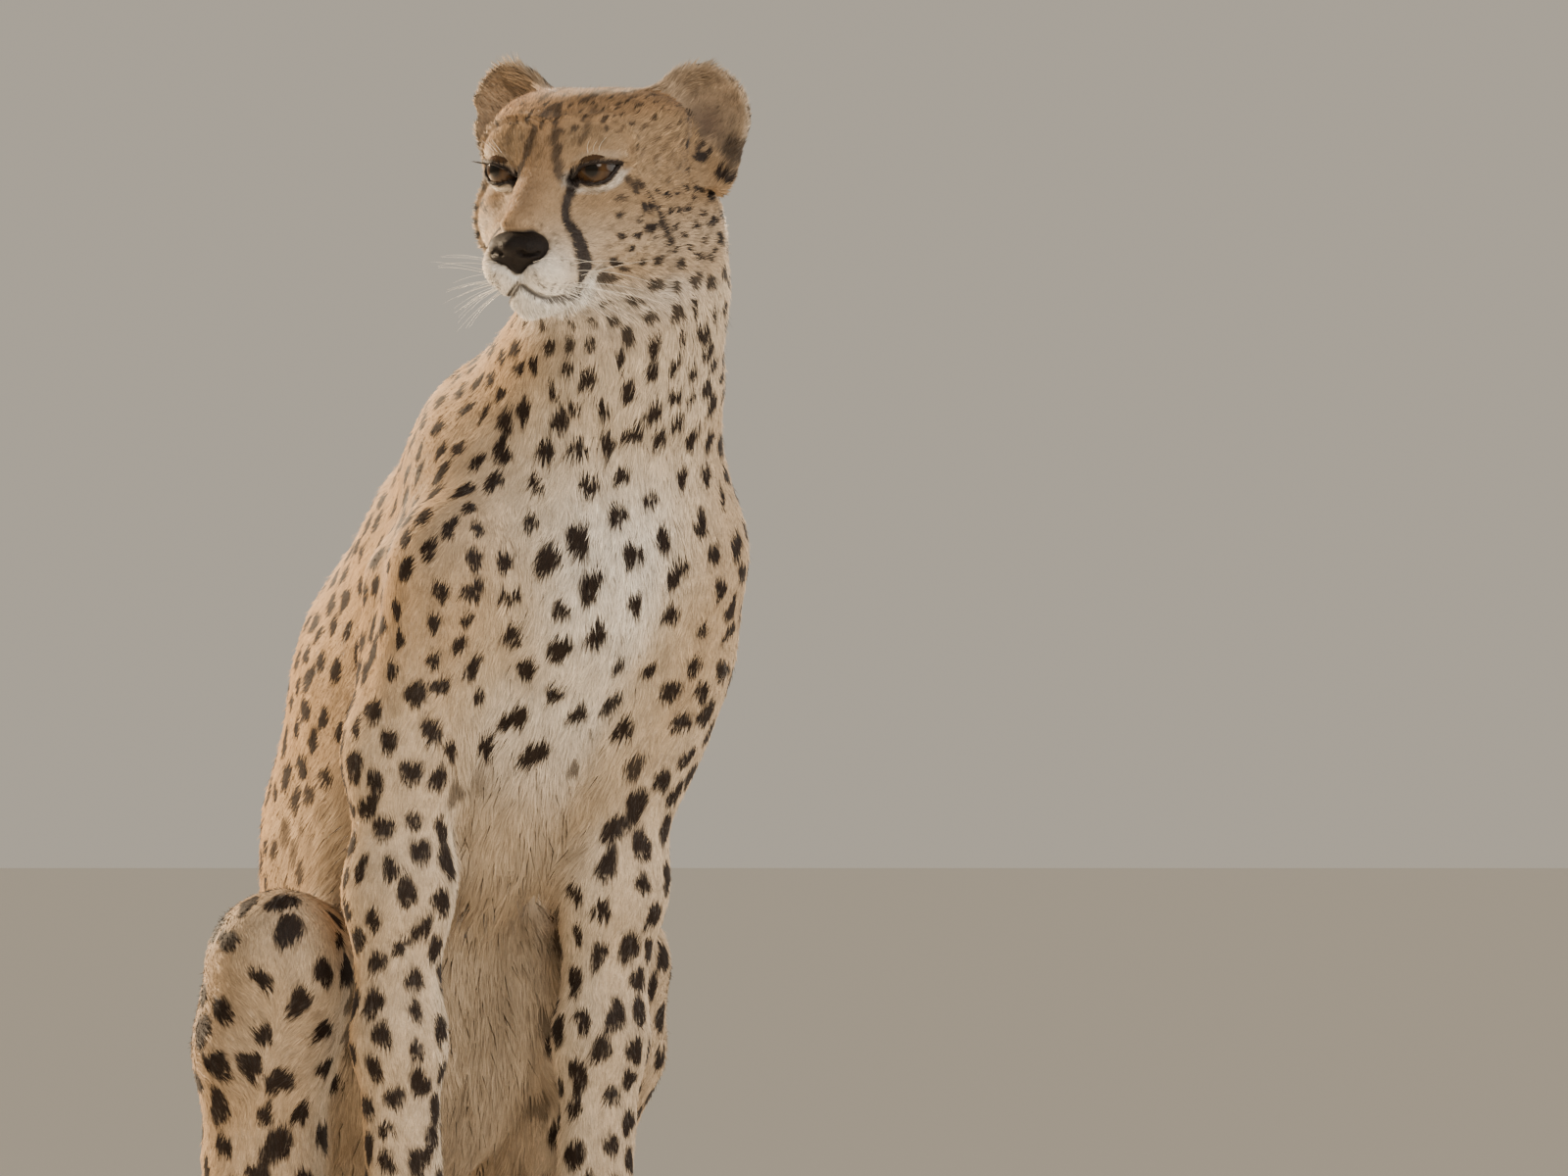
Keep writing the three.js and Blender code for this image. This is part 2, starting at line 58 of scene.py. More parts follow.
def head_axes():
    """The head's own axes as columns: its left, its back, and up."""
    turn, nod = -HEAD_TURN, HEAD_NOD
    about_z = np.array([[math.cos(turn), -math.sin(turn), 0], [math.sin(turn), math.cos(turn), 0], [0, 0, 1]])
    about_x = np.array([[1, 0, 0], [0, math.cos(nod), -math.sin(nod)], [0, math.sin(nod), math.cos(nod)]])
    return about_z @ about_x


HEAD = head_axes()


def to_head(p):
    return (p - HEAD_SEAT) @ HEAD


def from_head(p):
    return np.asarray(p, float) @ HEAD.T + HEAD_SEAT


def box_middle(node):
    low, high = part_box(node)
    return (np.array(low) + np.array(high)) / 2


between_eyes = from_head([[0, -EYE["ahead"], EYE["up"]]])[0]
OFFSET = between_eyes - 1000 * (box_middle("eye_left") + box_middle("eye_right")) / 2
OFFSET[2] = 0.0
print("skeleton minus frame, mm:", OFFSET.round(3))


def to_metres(p):
    return (np.asarray(p, float) - OFFSET) / 1000


# %% [markdown]
# ## The body as a field
# Flesh has no corners: muscle runs over each joint. A *signed field* is a good way to say that. Each bone
# gets a tapered limb, each mass of muscle a ball, and `blend` joins them with a fillet. The value is the
# distance to the surface, negative inside. Modelling by hand with a Subdivision surface would work as well,
# but with a field the skin can be set at any depth under the coat.

# %% Limbs, balls and blends
def limb(a, b, ra, rb, flat=1.0):
    a = np.array(a, float)
    narrow = np.array([flat, 1.0, 1.0])
    run = (np.array(b, float) - a) / narrow
    scale = (1 + flat) / 2 if flat < 1 else 1.0

    def field(p):
        q = (p - a) / narrow
        t = np.clip(q @ run / (run @ run), 0, 1)
        return (np.linalg.norm(q - t[:, None] * run, axis=1) - (ra + (rb - ra) * t)) * scale

    return field


def ball(c, r):
    c, r = np.array(c, float), np.array(r, float)

    def field(p):
        q = p - c
        k0 = np.linalg.norm(q / r, axis=1)
        k1 = np.linalg.norm(q / r**2, axis=1)
        return np.where(k1 > 1e-9, k0 * (k0 - 1) / np.maximum(k1, 1e-9), -r.min())

    return field


def blend(k, *fields):
    def field(p):
        d = fields[0](p)
        for other in fields[1:]:
            e = other(p)
            h = np.maximum(k - np.abs(d - e), 0) / k
            d = np.minimum(d, e) - h * h * k / 4
        return d

    return field


def chain(k, flat, *stations):
    runs = [limb(a[:3], b[:3], a[3], b[3], flat) for a, b in zip(stations, stations[1:])]
    return blend(k, *runs)


def within(low, high, field):
    """The field only inside a box, which saves work where it can't reach."""
    low, high = np.array(low, float), np.array(high, float)

    def near(p):
        inside = ((p > low) & (p < high)).all(1)
        d = np.full(len(p), 1e3)
        if inside.any():
            d[inside] = field(p[inside])
        return d

    return near


def lean(z):
    """How far the chest leans to the animal's left at height z."""
    return -2 + 4 * np.logaddexp(0, (z - 340) / 40)


def leaning(field):
    def shifted(p):
        q = p.copy()
        q[:, 0] -= lean(p[:, 2])
        return field(q)

    return shifted


# %% Trunk, legs and tail
ribs = blend(
    36,
    chain(30, 0.76, [0, -186, 584, 102], [0, -140, 548, 114], [0, -56, 478, 110]),
    chain(30, 0.84, [0, -56, 478, 106], [0, 2, 386, 90], [0, 34, 262, 86], [0, 70, 120, 80]),
    ball([2, -256, 566], [78, 76, 100]),
)
trunk = blend(
    36,
    ribs,
    limb([0, -200, 480], [0, -156, 392], 62, 58, 0.85),
    limb([0, -132, 350], [0, -80, 244], 40, 36),
    ball([0, -62, 296], [86, 72, 160]),
    ball([0, 116, 58], [50, 62, 62]),
    limb([0, 132, 92], [0, 206, 34], 52, 28),
)
PAW_LENGTH, TOE_GAP, TOE_RADIUS = 96, 16, 13.5
FORE_PAW = {"side": 70, "heel": -196}
HIND_PAW = {"side": 128, "heel": -76}


def foreleg(s):
    return blend(
        26,
        limb([s * 42, -150, 636], [s * 82, -250, 560], 34, 50, 0.8),
        limb([s * 86, -258, 556], [s * 86, -202, 432], 48, 38),
        limb([s * 82, -190, 546], [s * 86, -186, 440], 40, 32),
        chain(26, 1, [s * 86, -202, 432, 38], [s * 82, -196, 340, 35], [s * 78, -192, 240, 29.5]),
        limb([s * 78, -192, 240], [s * 72, -192, 110], 29.5, 28),
        limb([s * 72, -192, 110], [s * 70, -206, 42], 27, 26),
    )


def hindleg(s):
    return blend(
        28,
        limb([s * 38, 74, 172], [s * 117, -94, 288], 62, 53, 0.84),
        limb([s * 34, 82, 108], [s * 106, -54, 176], 50, 48, 0.84),
        limb([s * 118, -94, 284], [s * 123, -84, 232], 51, 47),
        limb([s * 123, -80, 232], [s * 117, -64, 150], 46, 35),
        limb([s * 117, -64, 150], [s * 104, 10, 54], 34, 27),
        limb([s * 102, 28, 26], [s * 124, -88, 25], 27, 27),
    )


def toe_tips(place):
    tips = []
    for n in (-1.5, -0.5, 0.5, 1.5):
        reach = PAW_LENGTH * (0.82 if abs(n) > 1 else 1.0)
        tips.append((place["side"] + n * TOE_GAP, place["heel"] - reach))
    return tips


def paw(s, place):
    side, heel = place["side"], place["heel"]
    toes = [
        limb(
            [s * (side + x) / 2, heel - PAW_LENGTH * 0.42, 30],
            [s * x, y + TOE_RADIUS, 11.5], 17, TOE_RADIUS,
        )
        for x, y in toe_tips(place)
    ]
    return blend(7, ball([s * side, heel - PAW_LENGTH * 0.34, 18], [30, 36, 24]), *toes)


TAIL_LINE = [
    [-8, 150, 74], [-8, 206, 35], [18, 262, 21], [84, 282, 17], [150, 250, 15],
    [186, 180, 14.5], [197, 96, 15], [198, 10, 16], [194, -70, 16], [190, -120, 12],
]
TAIL_RADII = [29, 23, 19, 17, 16, 16.5, 18, 17, 8]


def smooth_line(points, count):
    """A smooth line through the points, as `count` places an equal way apart."""
    p = np.array(points, float)
    p = np.vstack([2 * p[0] - p[1], p, 2 * p[-1] - p[-2]])
    fine = []
    for a, b, c, d in zip(p, p[1:], p[2:], p[3:]):
        for t in np.linspace(0, 1, 24, endpoint=False):
            curve = 2 * b + (c - a) * t + (2 * a - 5 * b + 4 * c - d) * t**2 + (3 * b - a - 3 * c + d) * t**3
            fine.append(0.5 * curve)
    fine = np.array(fine + [p[-2]])
    way = np.concatenate([[0], np.cumsum(np.linalg.norm(np.diff(fine, axis=0), axis=1))])
    at = np.linspace(0, way[-1], count)
    return np.stack([np.interp(at, way, fine[:, a]) for a in range(3)], 1)


TAIL_PLACES = 41
TAIL = smooth_line(TAIL_LINE, TAIL_PLACES)
tail_share = np.clip((np.linspace(0, 1, TAIL_PLACES) - 0.095) / 0.905, 0, 1) * (len(TAIL_RADII) - 1)
TAIL_GIRTH = np.interp(tail_share, np.arange(len(TAIL_RADII)), TAIL_RADII)
TAIL_GIRTH[-1] = 6


def tail_after(first):
    """The flesh of the tail from one of its places to the tip."""
    steps = range(first, TAIL_PLACES - 1)
    return blend(6, *[limb(TAIL[n], TAIL[n + 1], TAIL_GIRTH[n], TAIL_GIRTH[n + 1]) for n in steps])


neck = blend(
    30,
    chain(30, 1, [34, -212, 630, 92], [44, -270, 690, 70], [44, -300, 745, 61], [24, -316, 790, 58]),
    limb([96, -252, 580], [72, -262, 664], 48, 50),
)

forelegs = within([-190, -360, 20], [190, -60, 760], blend(8, foreleg(1), foreleg(-1)))
hindlegs = within([-230, -200, -60], [230, 220, 420], blend(8, hindleg(1), hindleg(-1)))
fore_paws = within([-160, -340, -60], [160, -130, 130], blend(4, paw(1, FORE_PAW), paw(-1, FORE_PAW)))
hind_paws = within([-230, -220, -60], [230, 20, 130], blend(4, paw(1, HIND_PAW), paw(-1, HIND_PAW)))
tail = within([-110, 100, -60], [300, 380, 130], tail_after(4))
tail_front = within([110, -200, -60], [290, 101, 130], tail_after(18))


# %% Head and ears, in the head's own frame
def both(make):
    return [make(1), make(-1)]


skull = blend(
    18,
    ball([0, 10, 10], [64, 66, 53]),
    *both(lambda s: ball([s * 34, 10, 36], [36, 44, 26])),
    ball([0, -24, 24], [52, 40, 36]),
    *both(lambda s: ball([s * 33, -38, 24], [21, 21, 16])),
    *both(lambda s: ball([s * 42, -8, -20], [28, 44, 36])),
    *both(lambda s: limb([s * 34, -28, -26], [s * 21, -66, -40], 27, 20)),
    limb([0, -36, 6], [0, -95, -24], 31, 17.5),
    *both(lambda s: ball([s * 15, -84, -50], [20, 28, 20])),
    limb([0, -16, -56], [0, -84, -73], 32, 15),
    *both(lambda s: ball([s * 32, 8, -50], [28, 36, 32])),
    *both(lambda s: ball([s * 49, 40, -30], [30, 32, 36])),
)
EAR = {"side": 59, "ahead": -30, "up": 31, "tilt": math.radians(43), "turn": math.radians(10)}
EAR_WIDTH, EAR_HEIGHT, EAR_CUP = 74, 51, 14


def ear_axes():
    tilt, turn = EAR["tilt"], EAR["turn"]
    about_z = np.array([[math.cos(turn), -math.sin(turn), 0], [math.sin(turn), math.cos(turn), 0], [0, 0, 1]])
    about_y = np.array([[math.cos(tilt), 0, math.sin(tilt)], [0, 1, 0], [-math.sin(tilt), 0, math.cos(tilt)]])
    return about_z @ about_y


EAR_AXES = ear_axes()
EAR_ROOT = np.array([EAR["side"], -EAR["ahead"], EAR["up"]], float)


def to_ear(q, s):
    """From the head's frame to an ear's: x across the dish, y behind it, z from root to tip."""
    m = q * np.array([s, 1.0, 1.0])
    return (m - EAR_ROOT) @ EAR_AXES


def dish(e):
    """How far a place lies behind the middle sheet of the ear, and how far outside its rim."""
    t = np.clip(e[:, 2] / EAR_HEIGHT, 0, 1.2)
    outer = ease(e[:, 0], -8, 12)  # the outer edge runs down into a lobe, the inner one narrows to the root
    narrow = (1 - outer) * 0.2 * np.exp(-np.maximum(e[:, 2] + 4, 0) / 9)
    lobe = outer * 0.3 * ease(e[:, 2], 26, -8)
    broad = EAR_WIDTH / 2 * (1 - narrow + lobe)
    half = broad * np.sqrt(np.clip(1 - t**3, 0.35, 1))
    s = np.clip(e[:, 0] / half, -1.3, 1.3)
    depth = EAR_CUP * np.sin(np.pi * np.clip(0.32 + 0.68 * t, 0, 1))
    steep = np.sqrt(1 + (2 * s * depth / half) ** 2)
    behind = (e[:, 1] - depth * (1 - s * s)) / steep
    g = (e[:, 0] / broad) ** 2 + t**3 - 1
    slope = np.hypot(2 * e[:, 0] / broad**2, 3 * t**2 / EAR_HEIGHT) + 0.012
    return behind, g / slope


NICK_ACROSS, NICK_UP, NICK_DEPTH = 25, 39, 5.5


def one_ear(s):
    def field(q):
        e = to_ear(q, s)
        behind, out = dish(e)
        if s < 0:  # an old nick in the rim
            out = out + NICK_DEPTH * np.exp(-((e[:, 0] - NICK_ACROSS) ** 2 + (e[:, 2] - NICK_UP) ** 2) / 26)
        wall = 2.7 + 3.5 * np.exp(-np.maximum(e[:, 2], 0) / 14)
        d = np.abs(behind) - wall
        top = np.maximum(d, out + 1.5)
        h = np.maximum(3 - np.abs(d - out - 1.5), 0) / 3
        return np.maximum(top + h * h * 0.75, -14 - e[:, 2])

    return field


ears = within([-150, -60, -30], [150, 130, 130], lambda q: np.minimum(one_ear(1)(q), one_ear(-1)(q)))


def head(p):
    return skull(to_head(p))


head = within([-190, -520, 660], [180, -180, 960], head)
ears_at = within([-230, -520, 700], [220, -160, 990], lambda p: ears(to_head(p)))


# %% [markdown]
# ## How deep the skin lies
# The solids include the coat, so over most of the animal the skin lies inside them by the coat's depth: 6 mm on
# the body, 3.5 mm on the head, 3 mm on the feet and 1.5 mm on the breast and belly. It isn't so everywhere. The
# breast between the forelegs, the sides of the head and the ears are fuller here than in the solids, and a
# negative depth lifts the left upper arm, so there the skin lies outside them, by 18 mm at most in a sample of
# its points. The ears have their own thin walls and no extra depth.

# %% The skin's field
def ease(x, low, high):
    t = np.clip((x - low) / (high - low), 0, 1)
    return t * t * (3 - 2 * t)


COAT_ON_BODY, THINNER_ON_HEAD, COAT_ON_BREAST, COAT_ON_FEET = 6.0, 2.5, 1.5, 3.0


def coat_depth(p):
    body = COAT_ON_BODY - THINNER_ON_HEAD * ease(p[:, 2], 640, 760)
    middle = ease(np.abs(p[:, 0] - lean(p[:, 2])), 84, 50) * ease(p[:, 2], 500, 440) * ease(p[:, 1], 0, -90)
    body = body * (1 - middle) + COAT_ON_BREAST * middle
    # the left shoulder, then the left upper arm
    for place, deep, wide in (([142, -278, 563], 8, 33), ([128, -243, 478], -14, 40)):
        body = body + deep * np.exp(-((p - place) ** 2).sum(1) / (2 * wide**2))
    feet = ease(p[:, 2], 160, 60)
    return body * (1 - feet) + COAT_ON_FEET * feet


def flesh(p):
    upper = blend(40, leaning(blend(32, trunk, forelegs)), within([-140, -470, 440], [220, -60, 900], neck))
    front = blend(14, leaning(fore_paws), upper)
    rear = blend(14, leaning(hind_paws), leaning(blend(32, trunk, hindlegs)))
    body = blend(10, lambda q: np.minimum(front(q), rear(q)), tail, tail_front)
    return blend(26, body, head)(p)


def skin_field(p):
    under = flesh(p) + coat_depth(p)
    ear = ears_at(p)
    h = np.maximum(11 - np.abs(under - ear), 0) / 11
    d = np.minimum(under, ear) - h * h * 11 / 4
    return np.maximum(d, 0.4 - p[:, 2])


def slope_of(field, p, step=0.6):
    """Which way the field grows at each place, as unit vectors."""
    corners = np.array([[1, 1, 1], [1, -1, -1], [-1, 1, -1], [-1, -1, 1]], float)
    g = sum(c * field(p + step * c)[:, None] for c in corners)
    return g / np.maximum(np.linalg.norm(g, axis=1, keepdims=True), 1e-9)


# %% [markdown]
# ## From the field to a mesh
# Surface nets put one vertex in every small cell that the surface crosses and join neighbours with quads.
# A Remesh modifier would give much the same grid, but this way the thin walls of the ears survive. The head
# gets cells less than half as large as the body's, because that is where the eye looks first.

# %% Surface nets
def net(field, low, high, cell):
    low = np.array(low, float)
    count = np.ceil((np.array(high, float) - low) / cell).astype(int) + 1
    step = 4
    rough_axes = [low[a] + cell * np.arange(0, count[a] + step, step) for a in range(3)]
    rough_grid = np.stack(np.meshgrid(*rough_axes, indexing="ij"), -1)
    rough = field(rough_grid.reshape(-1, 3)).reshape(rough_grid.shape[:3])
    value = rough
    for a in range(3):
        value = np.repeat(value, step, axis=a)
    value = value[: count[0], : count[1], : count[2]].copy()
    near = np.argwhere(np.abs(value) < 6.6 * cell)
    value[tuple(near.T)] = field(low + near * cell)
    value[[0, -1]] = 1
    value[:, [0, -1]] = 1
    value[:, :, [0, -1]] = 1
    inside = value < 0
    offsets = [(a, b, c) for a in (0, 1) for b in (0, 1) for c in (0, 1)]
    shape = [n - 1 for n in count]
    total = np.zeros(shape, int)
    for a, b, c in offsets:
        total += inside[a : shape[0] + a, b : shape[1] + b, c : shape[2] + c]
    cells = np.argwhere((total > 0) & (total < 8))
    corner = np.stack([value[cells[:, 0] + a, cells[:, 1] + b, cells[:, 2] + c] for a, b, c in offsets], 1)
    place = np.zeros((len(cells), 3))
    crossings = np.zeros(len(cells))
    for m, start in enumerate(offsets):
        for a in range(3):
            if start[a]:
                continue
            end = list(start)
            end[a] = 1
            n = offsets.index(tuple(end))
            cut = (corner[:, m] < 0) != (corner[:, n] < 0)
            t = corner[cut, m] / (corner[cut, m] - corner[cut, n])
            spot = np.tile(np.array(start, float), (cut.sum(), 1))
            spot[:, a] = t
            place[cut] += spot
            crossings[cut] += 1
    verts = low + (cells + place / crossings[:, None]) * cell
    number = np.full(shape, -1)
    number[tuple(cells.T)] = np.arange(len(cells))
    quads = []
    for a in range(3):
        u, w = (a + 1) % 3, (a + 2) % 3
        shifted = np.roll(inside, -1, axis=a)
        edge = inside != shifted
        ends = [slice(None)] * 3
        ends[a] = -1
        edge[tuple(ends)] = False
        at = np.argwhere(edge)
        at = at[(at[:, u] > 0) & (at[:, w] > 0)]
        back_u, back_w = np.eye(3, dtype=int)[u], np.eye(3, dtype=int)[w]
        around = [at - back_u - back_w, at - back_w, at, at - back_u]
        quad = np.stack([number[tuple(k.T)] for k in around], 1)
        flip = ~inside[tuple(at.T)]
        quad[flip] = quad[flip][:, ::-1]
        quads.append(quad)
    return verts, np.vstack(quads)

# %% [markdown]
# ## One skin
# Body and head are meshed apart, cut along one level plane through the neck, and joined with Bridge Edge
# Loops, so there is a single closed skin with no seam. Its vertices are then moved down the slope of the
# field until they lie on it exactly, which takes away the last trace of the grid.

# %% Join the two nets
NECK_CUT = 704.0
BODY_CELL, HEAD_CELL = 5.3, 2.4
body_net = net(skin_field, [-240, -460, -12], [260, 340, NECK_CUT + 14], BODY_CELL)
head_net = net(skin_field, [-220, -520, NECK_CUT - 10], [220, -180, 930], HEAD_CELL)
print("body and head quads:", len(body_net[1]), len(head_net[1]))


def mesh_of(name, verts, faces):
    """A mesh from corners and faces, given as arrays or as lists."""
    verts, faces = (rows.tolist() if isinstance(rows, np.ndarray) else rows for rows in (verts, faces))
    mesh = bpy.data.meshes.new(name)
    mesh.from_pydata(verts, [], faces)
    return mesh


skin_bm = bmesh.new()
for (verts, quads), keep_above in ((body_net, False), (head_net, True)):
    part = bmesh.new()
    part.from_mesh(mesh_of("net", verts, quads))
    height = NECK_CUT + (1.5 if keep_above else -1.5)
    whole = part.verts[:] + part.edges[:] + part.faces[:]
    bmesh.ops.bisect_plane(
        part, geom=whole, dist=1e-4, plane_co=(0, 0, height), plane_no=(0, 0, 1),
        clear_inner=keep_above, clear_outer=not keep_above,
    )
    half = bpy.data.meshes.new("half")
    part.to_mesh(half)
    part.free()
    skin_bm.from_mesh(half)
rims = [e for e in skin_bm.edges if e.is_boundary]
skin_bm.verts.index_update()
bmesh.ops.bridge_loops(skin_bm, edges=rims)
pinched = {v.index: v for e in skin_bm.edges if len(e.link_faces) > 2 for v in e.verts}
bmesh.ops.delete(skin_bm, geom=list(pinched.values()), context="VERTS")
bmesh.ops.holes_fill(skin_bm, edges=[e for e in skin_bm.edges if e.is_boundary], sides=0)
loose = [e for e in skin_bm.edges if not e.link_faces]
bmesh.ops.delete(skin_bm, geom=loose, context="EDGES")
bmesh.ops.delete(skin_bm, geom=[v for v in skin_bm.verts if not v.link_faces], context="VERTS")
print("pinched vertices replaced:", len(pinched))
bmesh.ops.triangulate(skin_bm, faces=[f for f in skin_bm.faces if len(f.verts) > 4])
print("open edges left:", sum(not e.is_manifold for e in skin_bm.edges))


# %% Helpers to read and move the skin
def places(bm):
    return np.array([v.co for v in bm.verts])


def put(bm, p):
    for v, co in zip(bm.verts, p):
        v.co = co


def settle(p, field, rounds=3, chosen=None):
    """Moves places down the slope until they lie on the field's surface."""
    p = p.copy()
    chosen = np.arange(len(p)) if chosen is None else chosen
    for _ in range(rounds):
        q = p[chosen]
        d = field(q)
        p[chosen] = q - np.clip(d, -3, 3)[:, None] * slope_of(field, q)
    return p


put(skin_bm, settle(places(skin_bm), skin_field))
print("skin vertices:", len(skin_bm.verts))

# %% [markdown]
# ## The face
# The lids, the mouth and the nostrils need smaller faces than the cheeks. Faces near them are subdivided,
# and their new corners are pulled on to the field again. The marks of the face are short lines of landmarks
# on the left side, in millimetres from the middle of the braincase (left, back, up), and mirrored to the
# right.

# %% Landmarks of the face
MOUTH = smooth_line(
    [[0, -101, -60], [5, -101, -65], [13, -92, -70], [20, -76, -73], [25, -60, -73], [28, -50, -68]], 40
)
PHILTRUM = smooth_line([[0, -106, -50], [0, -104, -56], [0, -101, -61]], 12)
TEAR = smooth_line(
    [[22, -62, 6], [21.5, -65, -1], [21, -71, -10], [23, -74, -21],
     [29, -76, -31], [34, -78, -43], [34, -72, -54], [31, -64, -66]], 60
)
EYE_TOP = [
    [-15, -6.6], [-12.6, -3.6], [-9.5, 0.2], [-5, 2.4], [0, 3.3], [6, 3.7], [11, 3.7], [14, 3.1], [15.4, 2.4],
]
EYE_LOW = [[13, -1.2], [9.8, -5], [5.6, -7.4], [0, -8.3], [-5, -8.1], [-9.5, -7.0], [-12.8, -7.6]]
ALMOND = np.array(EYE_TOP + EYE_LOW, float)
EYE_OUTWARD = math.radians(20)
EYE_AXES = np.array(
    [
        [math.cos(EYE_OUTWARD), math.sin(EYE_OUTWARD), 0],
        [0, 0, 1],
        [math.sin(EYE_OUTWARD), -math.cos(EYE_OUTWARD), 0],
    ]
).T  # columns: outward, up, ahead
EYE_SEAT = np.array([EYE["side"], -EYE["ahead"], EYE["up"]])


def line_distance(p, line):
    """Distance from each place to a line of points, and how far along it, 0 to 1."""
    best = np.full(len(p), 1e9)
    share = np.zeros(len(p))
    for n, (a, b) in enumerate(zip(line, line[1:])):
        run = b - a
        t = np.clip((p - a) @ run / (run @ run), 0, 1)
        d = np.linalg.norm(p - a - t[:, None] * run, axis=1)
        nearer = d < best
        best[nearer] = d[nearer]
        share[nearer] = (n + t[nearer]) / (len(line) - 1)
    return best, share


def almond_distance(ab):
    """Distance to the rim of the lids in the plane across the eye, negative inside the opening."""
    rim = np.vstack([ALMOND, ALMOND[:1]])
    d, _ = line_distance(ab, rim)
    inside = np.zeros(len(ab), bool)
    for (xa, ya), (xb, yb) in zip(rim, rim[1:]):
        crosses = (ya > ab[:, 1]) != (yb > ab[:, 1])
        where = xa + (ab[:, 1] - ya) * (xb - xa) / (yb - ya if abs(yb - ya) > 1e-9 else 1e-9)
        inside ^= crosses & (ab[:, 0] < where)
    return np.where(inside, -d, d)


def folded(h):
    """Head places with the right side laid over the left."""
    return np.stack([np.abs(h[:, 0]), h[:, 1], h[:, 2]], 1)


def laid(line):
    """The line again, with its places brought on to the skin."""
    return to_head(settle(from_head(line), skin_field, 5))


MOUTH, PHILTRUM, TEAR = laid(MOUTH), laid(PHILTRUM), laid(TEAR)
MOUTH[0, 0] = PHILTRUM[:, 0] = 0


# %% Finer faces round the eyes, nose and mouth
def refine(bm, wanted):
    """Subdivides the faces whose corners are all wanted."""
    p = places(bm)
    mask = wanted(p)
    bm.verts.index_update()
    faces = [f for f in bm.faces if all(mask[v.index] for v in f.verts)]
    edges = list({e for f in faces for e in f.edges})
    bmesh.ops.subdivide_edges(bm, edges=edges, cuts=1, use_grid_fill=True)
    many = [f for f in bm.faces if len(f.verts) > 4]
    bmesh.ops.triangulate(bm, faces=many)


def near_features(reach_eye, reach_mouth):
    def wanted(p):
        h = folded(to_head(p))
        mask = np.zeros(len(p), bool)
        close = (np.abs(h[:, 0]) < 70) & (h[:, 1] < -15) & (h[:, 2] > -90) & (h[:, 2] < 45)
        q = h[close]
        e = (q - EYE_SEAT) @ EYE_AXES
        eye = (np.abs(almond_distance(e[:, :2])) < reach_eye) & (e[:, 2] > 0)
        mouth = line_distance(q, MOUTH)[0] < reach_mouth
        lip = line_distance(q, PHILTRUM)[0] < reach_mouth
        mask[close] = eye | mouth | lip
        return mask

    return wanted


refine(skin_bm, near_features(9, 7))
put(skin_bm, settle(places(skin_bm), skin_field, 2, np.where(near_features(12, 10)(places(skin_bm)))[0]))
refine(skin_bm, near_features(3.2, 2.6))
put(skin_bm, settle(places(skin_bm), skin_field, 2, np.where(near_features(8, 8)(places(skin_bm)))[0]))
print("skin vertices with the face:", len(skin_bm.verts))

# %% [markdown]
# ## Lids, lips and nostrils
# A lid is skin that runs over the eyeball: near the opening the skin is lifted to lie a lid's thickness above
# the ball, and inside the opening it drops behind the ball's front, so the rim is a real step. The mouth is a
# groove with a little swelling on both sides.

# %% The nose pad's field and the whisker roots
def nose_field(q):
    m = folded(q)
    pad = blend(
        6,
        ball([0, -102, -35], [14, 16, 9]),
        limb([9, -101, -38], [0, -103, -50], 9, 4),
        ball([11.5, -100, -37], [8, 13.5, 8.5]),
    )(m)
    nostril = blend(
        2.5, ball([8.2, -116, -40], [3.2, 6, 2.8]), limb([9.6, -113.5, -40.5], [17.5, -107, -40], 2.1, 1.4)
    )(m)
    groove = limb([0, -121, -38], [0, -116, -56], 0.9, 1.1)(m)
    cut = np.minimum(nostril, groove)
    h = np.maximum(1.6 - np.abs(pad + cut), 0) / 1.6
    return np.maximum(pad, -cut) + h * h * 0.4


def whisker_roots():
    """Four rows of six on the lip, left side."""
    rows = [[15 + 1.6 * k, -104 + 6.0 * k, -47 - 5.2 * row - 0.8 * k] for row in range(4) for k in range(6)]
    return laid(np.array(rows))


WHISKER_ROOTS = whisker_roots()
NOSTRIL = np.array([9.0, -110.0, -39.0])


# %% Sculpt the face
LID = 1.9  # thickness, mm


